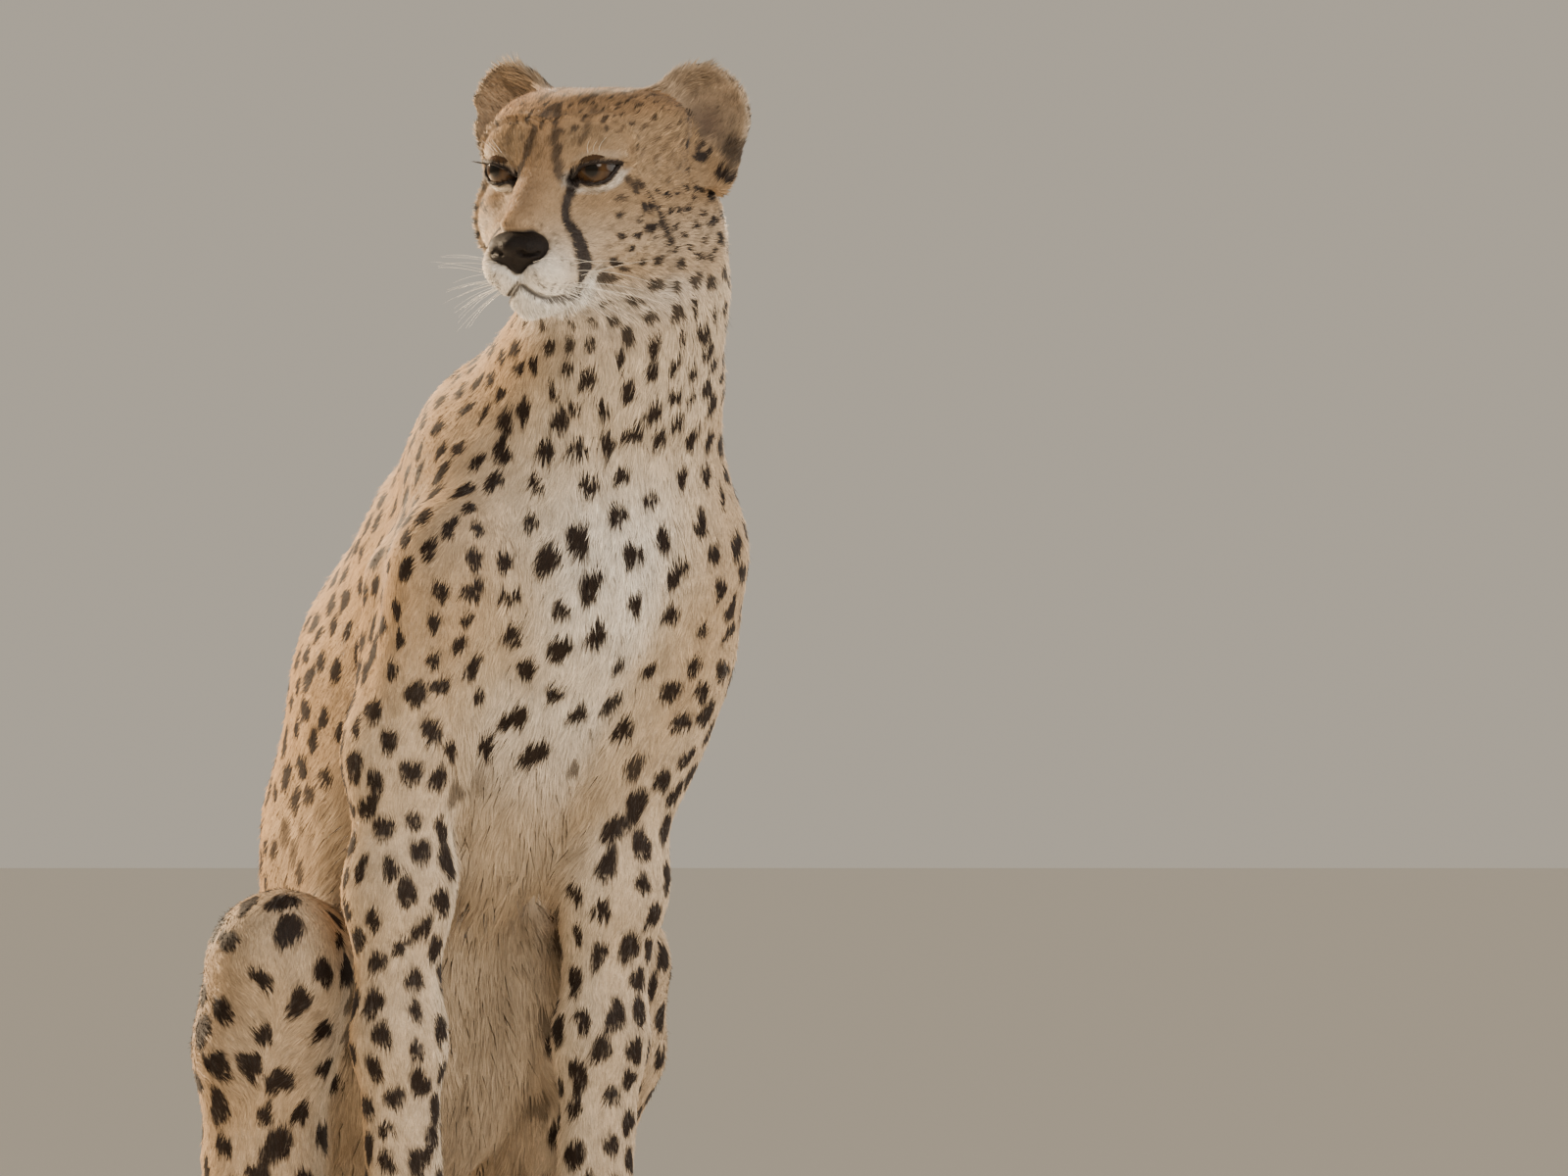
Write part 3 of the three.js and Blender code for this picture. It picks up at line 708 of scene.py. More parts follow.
def sculpt(p):
    h = to_head(p)
    side = np.where(h[:, 0] < 0, -1.0, 1.0)
    m = folded(h)
    near = (m[:, 0] < 75) & (m[:, 1] < -10) & (m[:, 2] > -100) & (m[:, 2] < 60)
    q = m[near]
    n = slope_of(skin_field, p[near]) @ HEAD
    n[:, 0] *= side[near]
    mouth, along = line_distance(q, MOUTH)
    fade = ease(along, 1.0, 0.8)
    lower = ease(MOUTH[(along * 39).astype(int), 2] - q[:, 2], -1, 2.5)
    groove = -2.6 * fade * np.exp(-((mouth / 1.5) ** 2))
    lips = 0.9 * fade * np.exp(-(((mouth - 5) / 2.6) ** 2)) * (1 - 0.3 * lower)
    push = groove + lips
    push -= 1.3 * np.exp(-((line_distance(q, PHILTRUM)[0] / 1.2) ** 2))
    push -= np.clip(4.0 - nose_field(q), 0, 6)
    q = q + push[:, None] * n
    e = (q - EYE_SEAT) @ EYE_AXES
    facing = e[:, 2] > -4
    d = almond_distance(e[:, :2])
    rim = facing & (np.abs(d) < 0.42)
    step = np.array([[0.05, 0], [0, 0.05]])
    grad = np.stack([almond_distance(e[:, :2] + s) - d for s in step], 1) / 0.05
    grad /= np.maximum(np.linalg.norm(grad, axis=1, keepdims=True), 1e-6)
    e[rim, :2] -= (d[rim, None] - 0.03) * grad[rim]
    d[rim] = 0.03
    r2 = (e[:, :2] ** 2).sum(1)
    globe = np.sqrt(np.maximum(EYE["radius"] ** 2 - r2, 4.0))
    lid_top = np.sqrt(np.maximum((EYE["radius"] + LID) ** 2 - r2, 9.0))
    weight = ease(d, 8.5, 0.4)
    outer = facing & (d >= 0)
    lift = e[:, 2] * (1 - weight) + lid_top * weight
    edge = ease(d, 0.0, 1.2)
    lift = (globe + 0.35) * (1 - edge) + lift * edge
    e[outer, 2] = np.maximum(lift, globe + 0.3)[outer]
    crease = facing & (d > 1) & (e[:, 1] > -2)
    e[crease, 2] -= (0.9 * np.exp(-(((d - 4.6) / 1.1) ** 2)))[crease]
    inner = facing & (d < 0)
    e[inner, 2] = (globe - 3.2)[inner]
    q = e @ EYE_AXES.T + EYE_SEAT
    m[near] = q
    m[:, 0] *= side
    keep = h[:, 0]
    m[np.abs(keep) < 1e-6, 0] = 0
    return from_head(m)


put(skin_bm, sculpt(places(skin_bm)))
bmesh.ops.recalc_face_normals(skin_bm, faces=skin_bm.faces)
skin_mesh = bpy.data.meshes.new("skin")
skin_bm.to_mesh(skin_mesh)
print("skin triangles:", sum(len(p.vertices) - 2 for p in skin_mesh.polygons))

# %% [markdown]
# ## The lie of the coat
# Hair runs from the nose back over the head, down the neck and trunk, down the legs to the toes and out to
# the tip of the tail. Each bone carries the direction of the hair over it, and every place on the skin
# takes a mean of the bones near it. On the head the hair simply runs away from the nose.

# %% Bones that lead the hair
def leant(points):
    return [[x + lean(np.array(z)), y, z] for x, y, z in points]


LEADERS = {
    "neck": [[24, -316, 790], [44, -296, 745], [44, -266, 690], [30, -200, 620]],
    "back": leant(
        [[0, -150, 640], [0, -120, 560], [0, -40, 478], [0, 20, 386], [0, 50, 262], [0, 90, 120],
         [-4, 150, 60]]
    ),
    "breast": leant(
        [[4, -290, 660], [0, -300, 560], [0, -240, 470], [0, -150, 392], [0, -110, 280], [0, -90, 120],
         [0, -60, 20]]
    ),
    "tail": TAIL[3::3].tolist() + [TAIL[-1].tolist()],
}
for s, word in ((1, "left"), (-1, "right")):
    LEADERS[f"foreleg_{word}"] = leant(
        [[s * 60, -190, 620], [s * 86, -236, 540], [s * 86, -206, 432], [s * 80, -194, 300],
         [s * 74, -192, 140],
         [s * 70, -206, 44], [s * 70, -300, 12]]
    )
    LEADERS[f"hindleg_{word}"] = leant([[s * 60, 84, 190], [s * 100, -40, 270], [s * 122, -92, 250]])
    LEADERS[f"shank_{word}"] = leant([[s * 121, -88, 250], [s * 117, -64, 150], [s * 106, 0, 60]])
    LEADERS[f"foot_{word}"] = leant([[s * 102, 28, 26], [s * 120, -70, 26], [s * 128, -178, 12]])
BONE_NAMES, BONE_A, BONE_B = [], [], []
for name, line in LEADERS.items():
    for a, b in zip(line, line[1:]):
        BONE_NAMES.append(name)
        BONE_A.append(a)
        BONE_B.append(b)
BONE_A, BONE_B = np.array(BONE_A, float), np.array(BONE_B, float)
GIRTHS = {
    "neck": 62, "back": 88, "breast": 70, "tail": 17,
    "foreleg": 36, "hindleg": 54, "shank": 38, "foot": 24,
}
BONE_GIRTH = np.array([GIRTHS[n.split("_")[0]] for n in BONE_NAMES], float)


def head_share(p):
    """1 on the head, 0 on the neck."""
    h = to_head(p)
    return ease(h[:, 2] * 0.75 - h[:, 1] * 0.66, -92, -52)


def bone_table(p):
    """Distance to every bone in girths, and the place along it."""
    run = BONE_B - BONE_A
    t = np.einsum("nkc,kc->nk", p[:, None] - BONE_A, run) / (run**2).sum(1)
    t = np.clip(t, 0, 1)
    d = np.linalg.norm(p[:, None] - BONE_A - t[..., None] * run, axis=2)
    return d / BONE_GIRTH, t


def in_parts(work, p, size=20000):
    """The work done on some of the places at a time, to spare memory."""
    if not len(p):
        return np.zeros((0, 3))
    return np.concatenate([work(p[i : i + size]) for i in range(0, len(p), size)])


def unit(v):
    return v / np.maximum(np.linalg.norm(v, axis=1, keepdims=True), 1e-9)


def lie(p, n):
    """The way the hair lies at each place, square to the normal."""

    def body(q):
        d, _ = bone_table(q)
        w = 1 / (d + 0.08) ** 5
        w /= w.sum(1, keepdims=True)
        run = BONE_B - BONE_A
        return w @ (run / np.linalg.norm(run, axis=1, keepdims=True))

    way = in_parts(body, p)
    h = to_head(p)
    away = h - np.array([0, -112, -26.0])
    away[:, 2] += 12
    away[:, 2] = np.where(h[:, 2] < -56, away[:, 2] - 26, away[:, 2])
    away = unit(away)
    share = head_share(p)[:, None]
    way = way * (1 - share) + (away @ HEAD.T) * share
    for s in (1, -1):
        e = to_ear(h, s)
        on = (ease(e[:, 2], -4, 12) * (dish(e)[1] < 6) * (np.abs(dish(e)[0]) < 9))[:, None]
        up = EAR_AXES @ np.array([0, 0, 1.0]) * np.array([s, 1, 1])
        way = way * (1 - on) + (HEAD @ up) * on
    way -= (way * n).sum(1, keepdims=True) * n
    return unit(way)


# %% [markdown]
# ## Spots
# A cheetah's spots are solid, not rosettes, and lie an even way apart, closer on the shoulders and neck,
# wide on the thighs, tiny on the head. They are sown by throwing darts: a random place on the skin becomes
# a spot if no other spot lies within the spacing of that part of the body. Each spot is a slightly uneven
# oval along the hair.

# %% Where the spots go and how large they are
def ripple(p, size, seed):
    """A smooth random field between about -1 and 1."""
    rng = np.random.default_rng(seed)
    total = np.zeros(len(p))
    for _ in range(7):
        way = rng.normal(size=3)
        way /= np.linalg.norm(way)
        total += np.sin(p @ way * (2 * math.pi / (size * rng.uniform(0.7, 1.5))) + rng.uniform(0, 6.3))
    return total / 2.6


def body_parts(p, n):
    """Soft shares of the body that markings and coat go by."""
    h = to_head(p)
    head_part = head_share(p)
    x = p[:, 0] - lean(p[:, 2])
    d = in_parts(lambda q: bone_table(q)[0], p)
    names = np.array([b.split("_")[0] for b in BONE_NAMES])
    near = {k: d[:, names == k].min(1) for k in GIRTHS}
    middle = np.minimum(near["back"], near["breast"])
    leg = ease(np.minimum(near["foreleg"], 9) - middle, 0.25, -0.35) * ease(p[:, 2], 520, 430)
    leg = leg * (p[:, 1] < -130)
    thigh = ease(np.minimum(near["hindleg"], near["shank"]) - middle, 0.15, -0.2)
    thigh = thigh * ease(p[:, 2], 420, 330) * (1 - leg) * (np.abs(x) > 36)
    on_tail = ease(near["tail"], 2.2, 1.3) * ((p[:, 1] > 150) | (p[:, 0] > 160))
    foot = ease(p[:, 2], 95, 60) * (1 - on_tail) * (near["back"] > 0.9)
    front = ease(-n[:, 1], 0.0, 0.75) * ease(np.abs(x), 96, 42) * (1 - leg) * (1 - head_part) * (1 - thigh)
    belly = ease(p[:, 2], 470, 380) * (1 - leg) * (1 - thigh) * (1 - on_tail)
    belly = belly * ease(-n[:, 1], -0.35, 0.15) * ease(np.abs(x), 92, 66)
    belly = belly * ease(p[:, 1], 60, -20)
    back = ease(n[:, 1], -0.05, 0.7) * (1 - leg) * (1 - on_tail)
    inner = ease(-n[:, 0] * np.sign(x), 0.15, 0.75) * np.maximum(leg, thigh)
    neck_part = ease(p[:, 2], 610, 680) * (1 - head_part)
    return {
        "head": head_part, "leg": leg, "thigh": thigh, "tail": on_tail, "foot": foot, "front": front,
        "belly": belly, "back": back, "inner": inner, "neck": neck_part, "h": h, "x": x,
    }


def spot_style(p, n):
    """Spacing, half-length, half-width and strength of a spot at each place."""
    part = body_parts(p, n)
    style = np.tile([19.5, 8.8, 6.7, 1.0], (len(p), 1))

    def over(share, values):
        style[:] = style * (1 - share[:, None]) + np.array(values) * share[:, None]

    over(part["neck"], [17.0, 7.4, 5.8, 1.0])
    over(part["back"] * 0.7, [20, 9.4, 6.5, 1.0])
    over(part["front"] * ease(p[:, 2], 640, 580), [27, 9.6, 7.8, 1.0])
    over(part["thigh"], [26, 12.0, 9.0, 1.0])
    over(part["leg"], [20, 10.4, 7.2, 1.0])
    over(part["foot"], [15, 5.0, 3.4, 0.9])
    over(part["tail"], [25, 9.5, 8.0, 1.0])
    h = part["h"]
    crown = ease(h[:, 2], 24, 44)
    over(part["head"], [10.0, 3.3, 2.7, 1.0])
    over(part["head"] * crown, [7.6, 2.9, 1.7, 0.85])
    over(part["head"] * ease(h[:, 1], 16, 44), [14, 6.2, 4.2, 1.0])
    over(part["head"] * ease(h[:, 2], -44, -62) * (h[:, 1] > -58), [14.5, 5.6, 4.2, 0.9])
    wide = np.abs(h[:, 0])
    bare = part["head"] * ease(h[:, 2] * 0.35 - h[:, 1] - wide * 1.15, -16, 0) * (1 - crown)
    lid = np.linalg.norm((folded(h) - [36, -52, 11]) / [24, 24, 19], axis=1)
    bare = np.maximum(bare, part["head"] * (lid < 1))
    temple = part["head"] * ease(wide, 38, 50) * ease(h[:, 2], -6, 6) * (1 - crown) * ease(h[:, 1], 24, 4)
    style[:, 3] *= (1 - ease(part["belly"], 0.3, 0.8)) * (1 - bare) * (1 - 0.6 * temple)
    return style


def sow(p, n, seed=11):
    rng = np.random.default_rng(seed)
    style = spot_style(p, n)
    order = rng.permutation(np.where(style[:, 3] > 0.25)[0])
    free = np.ones(len(p), bool)
    chosen, room = [], []
    for i in order:
        if not free[i]:
            continue
        reach = style[i, 0] * rng.uniform(0.86, 1.08)
        chosen.append(i)
        room.append(reach)
        free &= ((p - p[i]) ** 2).sum(1) > reach * reach
    chosen = np.array(chosen)
    way = lie(p[chosen], n[chosen])
    across = np.cross(n[chosen], way)
    turn = rng.normal(0, 0.28, len(chosen))[:, None]
    way, across = way * np.cos(turn) + across * np.sin(turn), across * np.cos(turn) - way * np.sin(turn)
    grow = rng.uniform(0.72, 1.22, (len(chosen), 1))
    half = style[chosen, 1:3] * grow * rng.uniform(0.88, 1.14, (len(chosen), 2))
    half = np.minimum(half, np.array(room)[:, None] * [0.56, 0.44])
    return {
        "at": p[chosen], "way": way, "across": across, "half": half, "strength": style[chosen, 3],
        "phase": rng.uniform(0, 6.3, (len(chosen), 2)),
    }


skin_mesh.calc_loop_triangles()


def mesh_arrays(mesh):
    p = np.empty(len(mesh.vertices) * 3)
    mesh.vertices.foreach_get("co", p)
    n = np.empty(len(mesh.vertices) * 3)
    mesh.vertices.foreach_get("normal", n)
    tris = np.empty(len(mesh.loop_triangles) * 3, int)
    mesh.loop_triangles.foreach_get("vertices", tris)
    return p.reshape(-1, 3), n.reshape(-1, 3), tris.reshape(-1, 3)


SKIN_P, SKIN_N, SKIN_T = mesh_arrays(skin_mesh)
SPOTS = sow(SKIN_P, SKIN_N)
spot_tree = kdtree.KDTree(len(SPOTS["at"]))
for i, co in enumerate(SPOTS["at"]):
    spot_tree.insert(co, i)
spot_tree.balance()
print("spots:", len(SPOTS["at"]))


def spot_mask(p):
    mask = np.zeros(len(p))
    nearest = np.array([[hit[1] for hit in spot_tree.find_n(co, 3)] for co in p])
    for k in range(3):
        i = nearest[:, k]
        d = p - SPOTS["at"][i]
        u = (d * SPOTS["way"][i]).sum(1) / SPOTS["half"][i, 0]
        v = (d * SPOTS["across"][i]).sum(1) / SPOTS["half"][i, 1]
        angle = np.arctan2(v, u)
        turn = SPOTS["phase"][i]
        wave = 1 + 0.13 * np.sin(2 * angle + turn[:, 0]) + 0.11 * np.sin(3 * angle + turn[:, 1])
        deep = np.abs(np.einsum("nc,nc->n", d, np.cross(SPOTS["way"][i], SPOTS["across"][i]))) / 22
        r = np.sqrt(u * u + v * v + deep**2) / wave
        mask = np.maximum(mask, SPOTS["strength"][i] * ease(r, 1.14, 0.84))
    return mask


# %% [markdown]
# ## Colour of the coat
# One function gives the colour at any place, so skin and hair always agree. It starts with tawny, paler below
# and deeper along the back, with a darker tan on the head as painted shade, adds the white of chin, lips and
# the crescent under the eye, and lays spots, tear lines and tail rings on top. Painted shade also darkens the
# hollow of each ear, and a painted shadow lies above each upper lid.

# %% Colours and lines
TAWNY = np.array([0.335, 0.220, 0.117])
# the head's tan, kept darker than the body's as painted shade on the face
SHADED_FACE_TAN = np.array([0.262, 0.174, 0.096])
DEEP = np.array([0.245, 0.138, 0.064])
PALE = np.array([0.56, 0.465, 0.35])
BELLY = np.array([0.40, 0.305, 0.205])
WHITE = np.array([0.74, 0.695, 0.63])
DARK = np.array([0.016, 0.009, 0.006])
CHEEK_LINE = laid([[52, -38, 4], [56, -33, -5], [60, -30, -14], [64, -24, -24], [66, -17, -33]])
BROW_LINE = laid([[1, -42, 53], [6, -50, 46], [9, -60, 34], [12, -66, 20], [14, -68, 8]])
OUTER_BROW = laid([[27, -38, 51], [28, -50, 42], [27, -59, 30]])
CROWN_LINE = laid([[16, -34, 55], [18, -20, 62], [19, 0, 66], [22, 24, 64]])


def root_distance(m):
    """Distance to the nearest whisker root, only worked out on the lips."""
    d = np.full(len(m), 99.0)
    close = (np.abs(m - [20, -85, -58]) < [22, 30, 22]).all(1)
    d[close] = np.linalg.norm(m[close][:, None] - WHISKER_ROOTS, axis=2).min(1)
    return d


# the ear's lining, and the dark of its hollow, which is painted shade
EAR_LINING, EAR_HOLLOW_SHADE = np.array([0.34, 0.255, 0.17]), np.array([0.07, 0.042, 0.028])


def coat_colour(p, n, seed=5):
    part = body_parts(p, n)
    h = part["h"]
    m = folded(h)
    colour = np.tile(TAWNY, (len(p), 1))

    def over(share, paint):
        share = np.clip(share, 0, 1)[:, None]
        colour[:] = colour * (1 - share) + paint * share

    over(part["back"] * 0.8, DEEP)
    side_pale = ease(-n[:, 1], -0.2, 0.7) * (1 - part["head"])
    over(side_pale * 0.34, PALE)
    over(part["leg"] * ease(-n[:, 1], -0.5, 0.4) * 0.45 + part["thigh"] * 0.18, PALE)
    over(part["front"] * 0.85, PALE)
    over(part["front"] * ease(p[:, 2], 640, 560) * ease(np.abs(part["x"]), 60, 20) * 0.62, WHITE)
    over(part["belly"] * 0.9, BELLY)
    over(part["inner"] * 0.75, PALE)
    over(part["foot"] * 0.35, PALE)
    on_head = part["head"]
    # painted shade: the whole head takes a darker tan than the body
    over(on_head * 0.85, SHADED_FACE_TAN)
    over(on_head * ease(m[:, 2], -8, -40) * 0.35, PALE)
    throat = on_head * ease(m[:, 2], -56, -74)
    over(throat * (0.45 + 0.55 * ease(-m[:, 1], 45, 75)), WHITE)
    lips = np.exp(-((line_distance(m, MOUTH)[0] / 15) ** 2)) * on_head
    over(lips, WHITE)
    pad = on_head * np.exp(-((np.linalg.norm((m - [17, -98, -54]) / [17, 22, 15], axis=1)) ** 2 * 1.1))
    over(pad * 0.95, WHITE)
    e = (m - EYE_SEAT) @ EYE_AXES
    facing = (e[:, 2] > -2) & (on_head > 0.5)
    lid = np.full(len(p), 99.0)
    lid[facing] = almond_distance(e[facing, :2])
    under = facing * ease(np.abs(lid - 4.5), 4.5, 1.5) * ease(e[:, 1], 2, -5)
    over(under * 0.52, WHITE)
    above = facing * ease(np.abs(lid - 6.0), 3.6, 1.2) * ease(e[:, 1], 4, 9)
    over(above * 0.28, PALE)
    bridge = on_head * ease(m[:, 0], 20, 6) * ease(m[:, 2], -40, -10) * ease(-h[:, 1], 30, 60)
    over(bridge * 0.4, DEEP)
    crown = on_head * ease(m[:, 2], 34, 56)
    over(crown * 0.7, DEEP)
    colour *= (1 + 0.07 * ripple(p, 26, seed) + 0.05 * ripple(p, 9, seed + 1))[:, None]

    dark = spot_mask(p)
    ears_on = np.zeros(len(p))
    for s in (1, -1):
        q = to_ear(h, s)
        behind, out = dish(q)
        on = ease(q[:, 2], -2, 10) * (np.abs(behind) < 8) * (out < 5)
        ears_on = np.maximum(ears_on, on)
        inside = on * (behind < 0)
        outside = on * (behind >= 0)
        dark = dark * (1 - on * 0.75)
        over(inside * 0.75, EAR_LINING)
        # painted shade in the hollow of the ear's cup
        hollow_shade = np.exp(-((q[:, 0] - 6) / 18) ** 2 - ((q[:, 2] - 12) / 16) ** 2)
        over(inside * hollow_shade * 0.85, EAR_HOLLOW_SHADE)
        over(outside * ease(q[:, 2], 50, 58), PALE)
        black = outside * ease(q[:, 2], 46, 38) * ease(q[:, 2], -6, 6)
        dark = np.maximum(dark, black * 0.95)
        rim = on * ease(out, -3.4, -0.8)
        over(rim * (q[:, 2] > 20) * 0.6, PALE)
        corner = on * ease(q[:, 0], 17, 28) * ease(q[:, 2], 30, 16)
        dark = np.maximum(dark, corner * 0.85)
    tear, along = line_distance(m, TEAR)
    width = 3.9 + 3.1 * np.clip((along - 0.3) / 0.4, 0, 1) - 1.6 * np.clip((along - 0.85) / 0.15, 0, 1)
    lines = ease(tear, width + 1.4, width - 1.2)
    marks = ((CHEEK_LINE, 3.7, 0.95), (BROW_LINE, 3.0, 0.75), (OUTER_BROW, 2.2, 0.5), (CROWN_LINE, 3.0, 0.7))
    for line, wide, strength in marks:
        d = line_distance(m, line)[0]
        lines = np.maximum(lines, strength * ease(d + 0.8 * ripple(p, 7, 3), wide + 1.6, wide - 1.0))
    # dark rims of the lids; the upper side is wider, a painted shadow above the upper lid
    lines = np.maximum(lines, facing * ease(lid, 3.2 + 0.8 * (e[:, 1] > 0), 1.6))
    lines = np.maximum(lines, facing * ease(lid, 6.4, 4.0) * ease(e[:, 0], -8, -12) * ease(e[:, 1], 1, -3))
    lines = np.maximum(lines, ease(nose_field(h), 1.3, 0.3))
    lines = np.maximum(lines, ease(np.linalg.norm(m - NOSTRIL, axis=1), 9, 7))
    mouth, along = line_distance(m, MOUTH)
    lines = np.maximum(lines, ease(mouth, 3.0, 1.4) * ease(along, 1.0, 0.95))
    lines = np.maximum(lines, 0.8 * ease(root_distance(m), 2.0, 0.9))
    lines = np.maximum(lines, ease(line_distance(m, PHILTRUM)[0], 1.5, 0.7))
    dark = np.maximum(dark, lines * (on_head > 0.4))
    _, share = line_distance(p, TAIL[6:])
    ring = 0.5 + 0.5 * np.cos(2 * math.pi * (share - 0.985) / 0.088)
    rings = part["tail"] * ease(ring, 0.42, 0.62) * ease(share, 0.66, 0.70) * ease(share, 0.99, 0.97)
    dark = np.maximum(dark * (1 - part["tail"] * ease(share, 0.64, 0.68)), rings)
    over(part["tail"] * ease(share, 0.6, 0.75) * 0.6, PALE)
    over(part["tail"] * ease(share, 0.975, 0.99), WHITE)
    over(dark, DARK)
    return np.clip(colour, 0, 1), dark


# %% Put the colours on the skin
def give_colour(mesh, colour):
    layer = mesh.color_attributes.new("Coat", "FLOAT_COLOR", "POINT")
    layer.data.foreach_set("color", np.hstack([colour, np.ones((len(colour), 1))]).ravel())


skin_colour, _ = coat_colour(SKIN_P, SKIN_N)
give_colour(skin_mesh, skin_colour * 0.9)


# %% [markdown]
# ## Finishes
# Every finish is a Principled shader. The colour comes from the attribute that the last step painted, with a
# fine noise over it. Sheen gives hair its soft edge light.

# %% Material helpers
def finish_named(name, roughness, **sockets):
    material = bpy.data.materials.new(name)
    material.use_nodes = True
    tree = material.node_tree
    shader = tree.nodes["Principled BSDF"]
    shader.inputs["Roughness"].default_value = roughness
    for socket, value in sockets.items():
        shader.inputs[socket.replace("_", " ")].default_value = value
    return material, tree, shader


def add_bump(tree, shader, size, strength, distance):
    coords = tree.nodes.new("ShaderNodeTexCoord")
    noise = tree.nodes.new("ShaderNodeTexNoise")
    noise.inputs["Scale"].default_value = size
    noise.inputs["Detail"].default_value = 4
    bump = tree.nodes.new("ShaderNodeBump")
    bump.inputs["Strength"].default_value = strength
    bump.inputs["Distance"].default_value = distance
    tree.links.new(coords.outputs["Object"], noise.inputs["Vector"])
    tree.links.new(noise.outputs["Fac"], bump.inputs["Height"])
    tree.links.new(bump.outputs["Normal"], shader.inputs["Normal"])
    return noise


def painted(tree, shader, low, high, size=420):
    """Base colour from the Coat attribute, a little lighter and darker in fine grains."""
    attribute = tree.nodes.new("ShaderNodeVertexColor")
    attribute.layer_name = "Coat"
    coords = tree.nodes.new("ShaderNodeTexCoord")
    noise = tree.nodes.new("ShaderNodeTexNoise")
    noise.inputs["Scale"].default_value = size
    span = tree.nodes.new("ShaderNodeMapRange")
    span.inputs["To Min"].default_value = low
    span.inputs["To Max"].default_value = high
    scale = tree.nodes.new("ShaderNodeVectorMath")
    scale.operation = "SCALE"
    tree.links.new(coords.outputs["Object"], noise.inputs["Vector"])
    tree.links.new(noise.outputs["Fac"], span.inputs["Value"])
    tree.links.new(attribute.outputs["Color"], scale.inputs[0])
    tree.links.new(span.outputs["Result"], scale.inputs["Scale"])
    tree.links.new(scale.outputs["Vector"], shader.inputs["Base Color"])


skin_finish, tree, shader = finish_named("skin_under_coat", 0.85, Sheen_Weight=0.15)
painted(tree, shader, 0.75, 1.2)
add_bump(tree, shader, 700, 0.5, 0.001)
coat_finish, tree, shader = finish_named(
    "coat_hair", 0.66, Sheen_Weight=0.1, Sheen_Roughness=0.35, Specular_IOR_Level=0.22
)
painted(tree, shader, 0.8, 1.2, 900)

FLESH = ["trunk", "neck", "head", "tail_root", "tail_middle", "tail_tip"]
for word in ("left", "right"):
    FLESH += [f"foreleg_{word}", f"forepaw_{word}", f"thigh_{word}", f"hindfoot_{word}", f"ear_{word}"]


def show(name, mesh, material, replaced=()):
    """A finished piece: in metres, on the root body, in place of the named solids."""
    mesh.polygons.foreach_set("use_smooth", np.ones(len(mesh.polygons), bool))
    piece = bpy.data.objects.new(name, mesh)
    bpy.context.scene.collection.objects.link(piece)
    if material:
        mesh.materials.append(material)
    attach(piece, "root")
    if replaced:
        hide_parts(*replaced)
    return piece


def scaled(mesh):
    """Turns a mesh from the skeleton's millimetres into the frame's metres."""
    p = np.empty(len(mesh.vertices) * 3)
    mesh.vertices.foreach_get("co", p)
    mesh.vertices.foreach_set("co", to_metres(p.reshape(-1, 3)).ravel())
    mesh.update()
    return mesh


show("skin", scaled(skin_mesh), skin_finish, FLESH)

# %% [markdown]
# ## Eyes
# The eyeball is a ball with a cornea that swells a little in front. Rings of faces run round the line of
# sight, and each vertex carries how far from that line it lies, so one colour ramp paints pupil, iris and
# dark edge. The iris is its own brown, kept darker as painted shade from the brow.

# %% Build the eyes
IRIS = 13.2  # radius of the iris, mm
GAZE_OUTWARD = math.radians(15)


def eyeball(s):
    rings, sides = 34, 56
    angles = np.concatenate([np.linspace(0.02, 0.85, 24), np.linspace(0.95, 3.1, 10)])
    gaze = np.array([s * math.sin(GAZE_OUTWARD), -math.cos(GAZE_OUTWARD), 0.02])
    gaze /= np.linalg.norm(gaze)
    across = unit(np.cross([[0, 0, 1.0]], gaze))[0]
    up = np.cross(gaze, across)
    verts, reach = [], []
    for a in angles:
        r = EYE["radius"] + 0.9 * math.exp(-((a / 0.6) ** 4))
        for k in range(sides):
            b = 2 * math.pi * k / sides
            verts.append(r * (math.cos(a) * gaze + math.sin(a) * (math.cos(b) * across + math.sin(b) * up)))
            reach.append(EYE["radius"] * math.sin(min(a, 1.5)) / IRIS)
    faces = []
    for i in range(rings - 1):
        for k in range(sides):
            a, b = i * sides + k, i * sides + (k + 1) % sides
            faces.append((a, b, b + sides, a + sides))
    faces += [tuple(range(sides))[::-1], tuple(range((rings - 1) * sides, rings * sides))]
    seat = np.array([s * EYE["side"], -EYE["ahead"], EYE["up"]])
    mesh = mesh_of(f"eye_{s}", from_head(np.array(verts) + seat), faces)
    bm = bmesh.new()
    bm.from_mesh(mesh)
    bmesh.ops.recalc_face_normals(bm, faces=bm.faces)
    bm.to_mesh(mesh)
    bm.free()
    layer = mesh.attributes.new("Reach", "FLOAT", "POINT")
    layer.data.foreach_set("value", np.array(reach))
    return mesh


eye_finish, tree, shader = finish_named(
    "eye_gloss", 0.14, Coat_Weight=0.22, Coat_Roughness=0.03, IOR=1.36, Specular_IOR_Level=0.22
)
reach = tree.nodes.new("ShaderNodeAttribute")
reach.attribute_name = "Reach"
ramp = tree.nodes.new("ShaderNodeValToRGB")
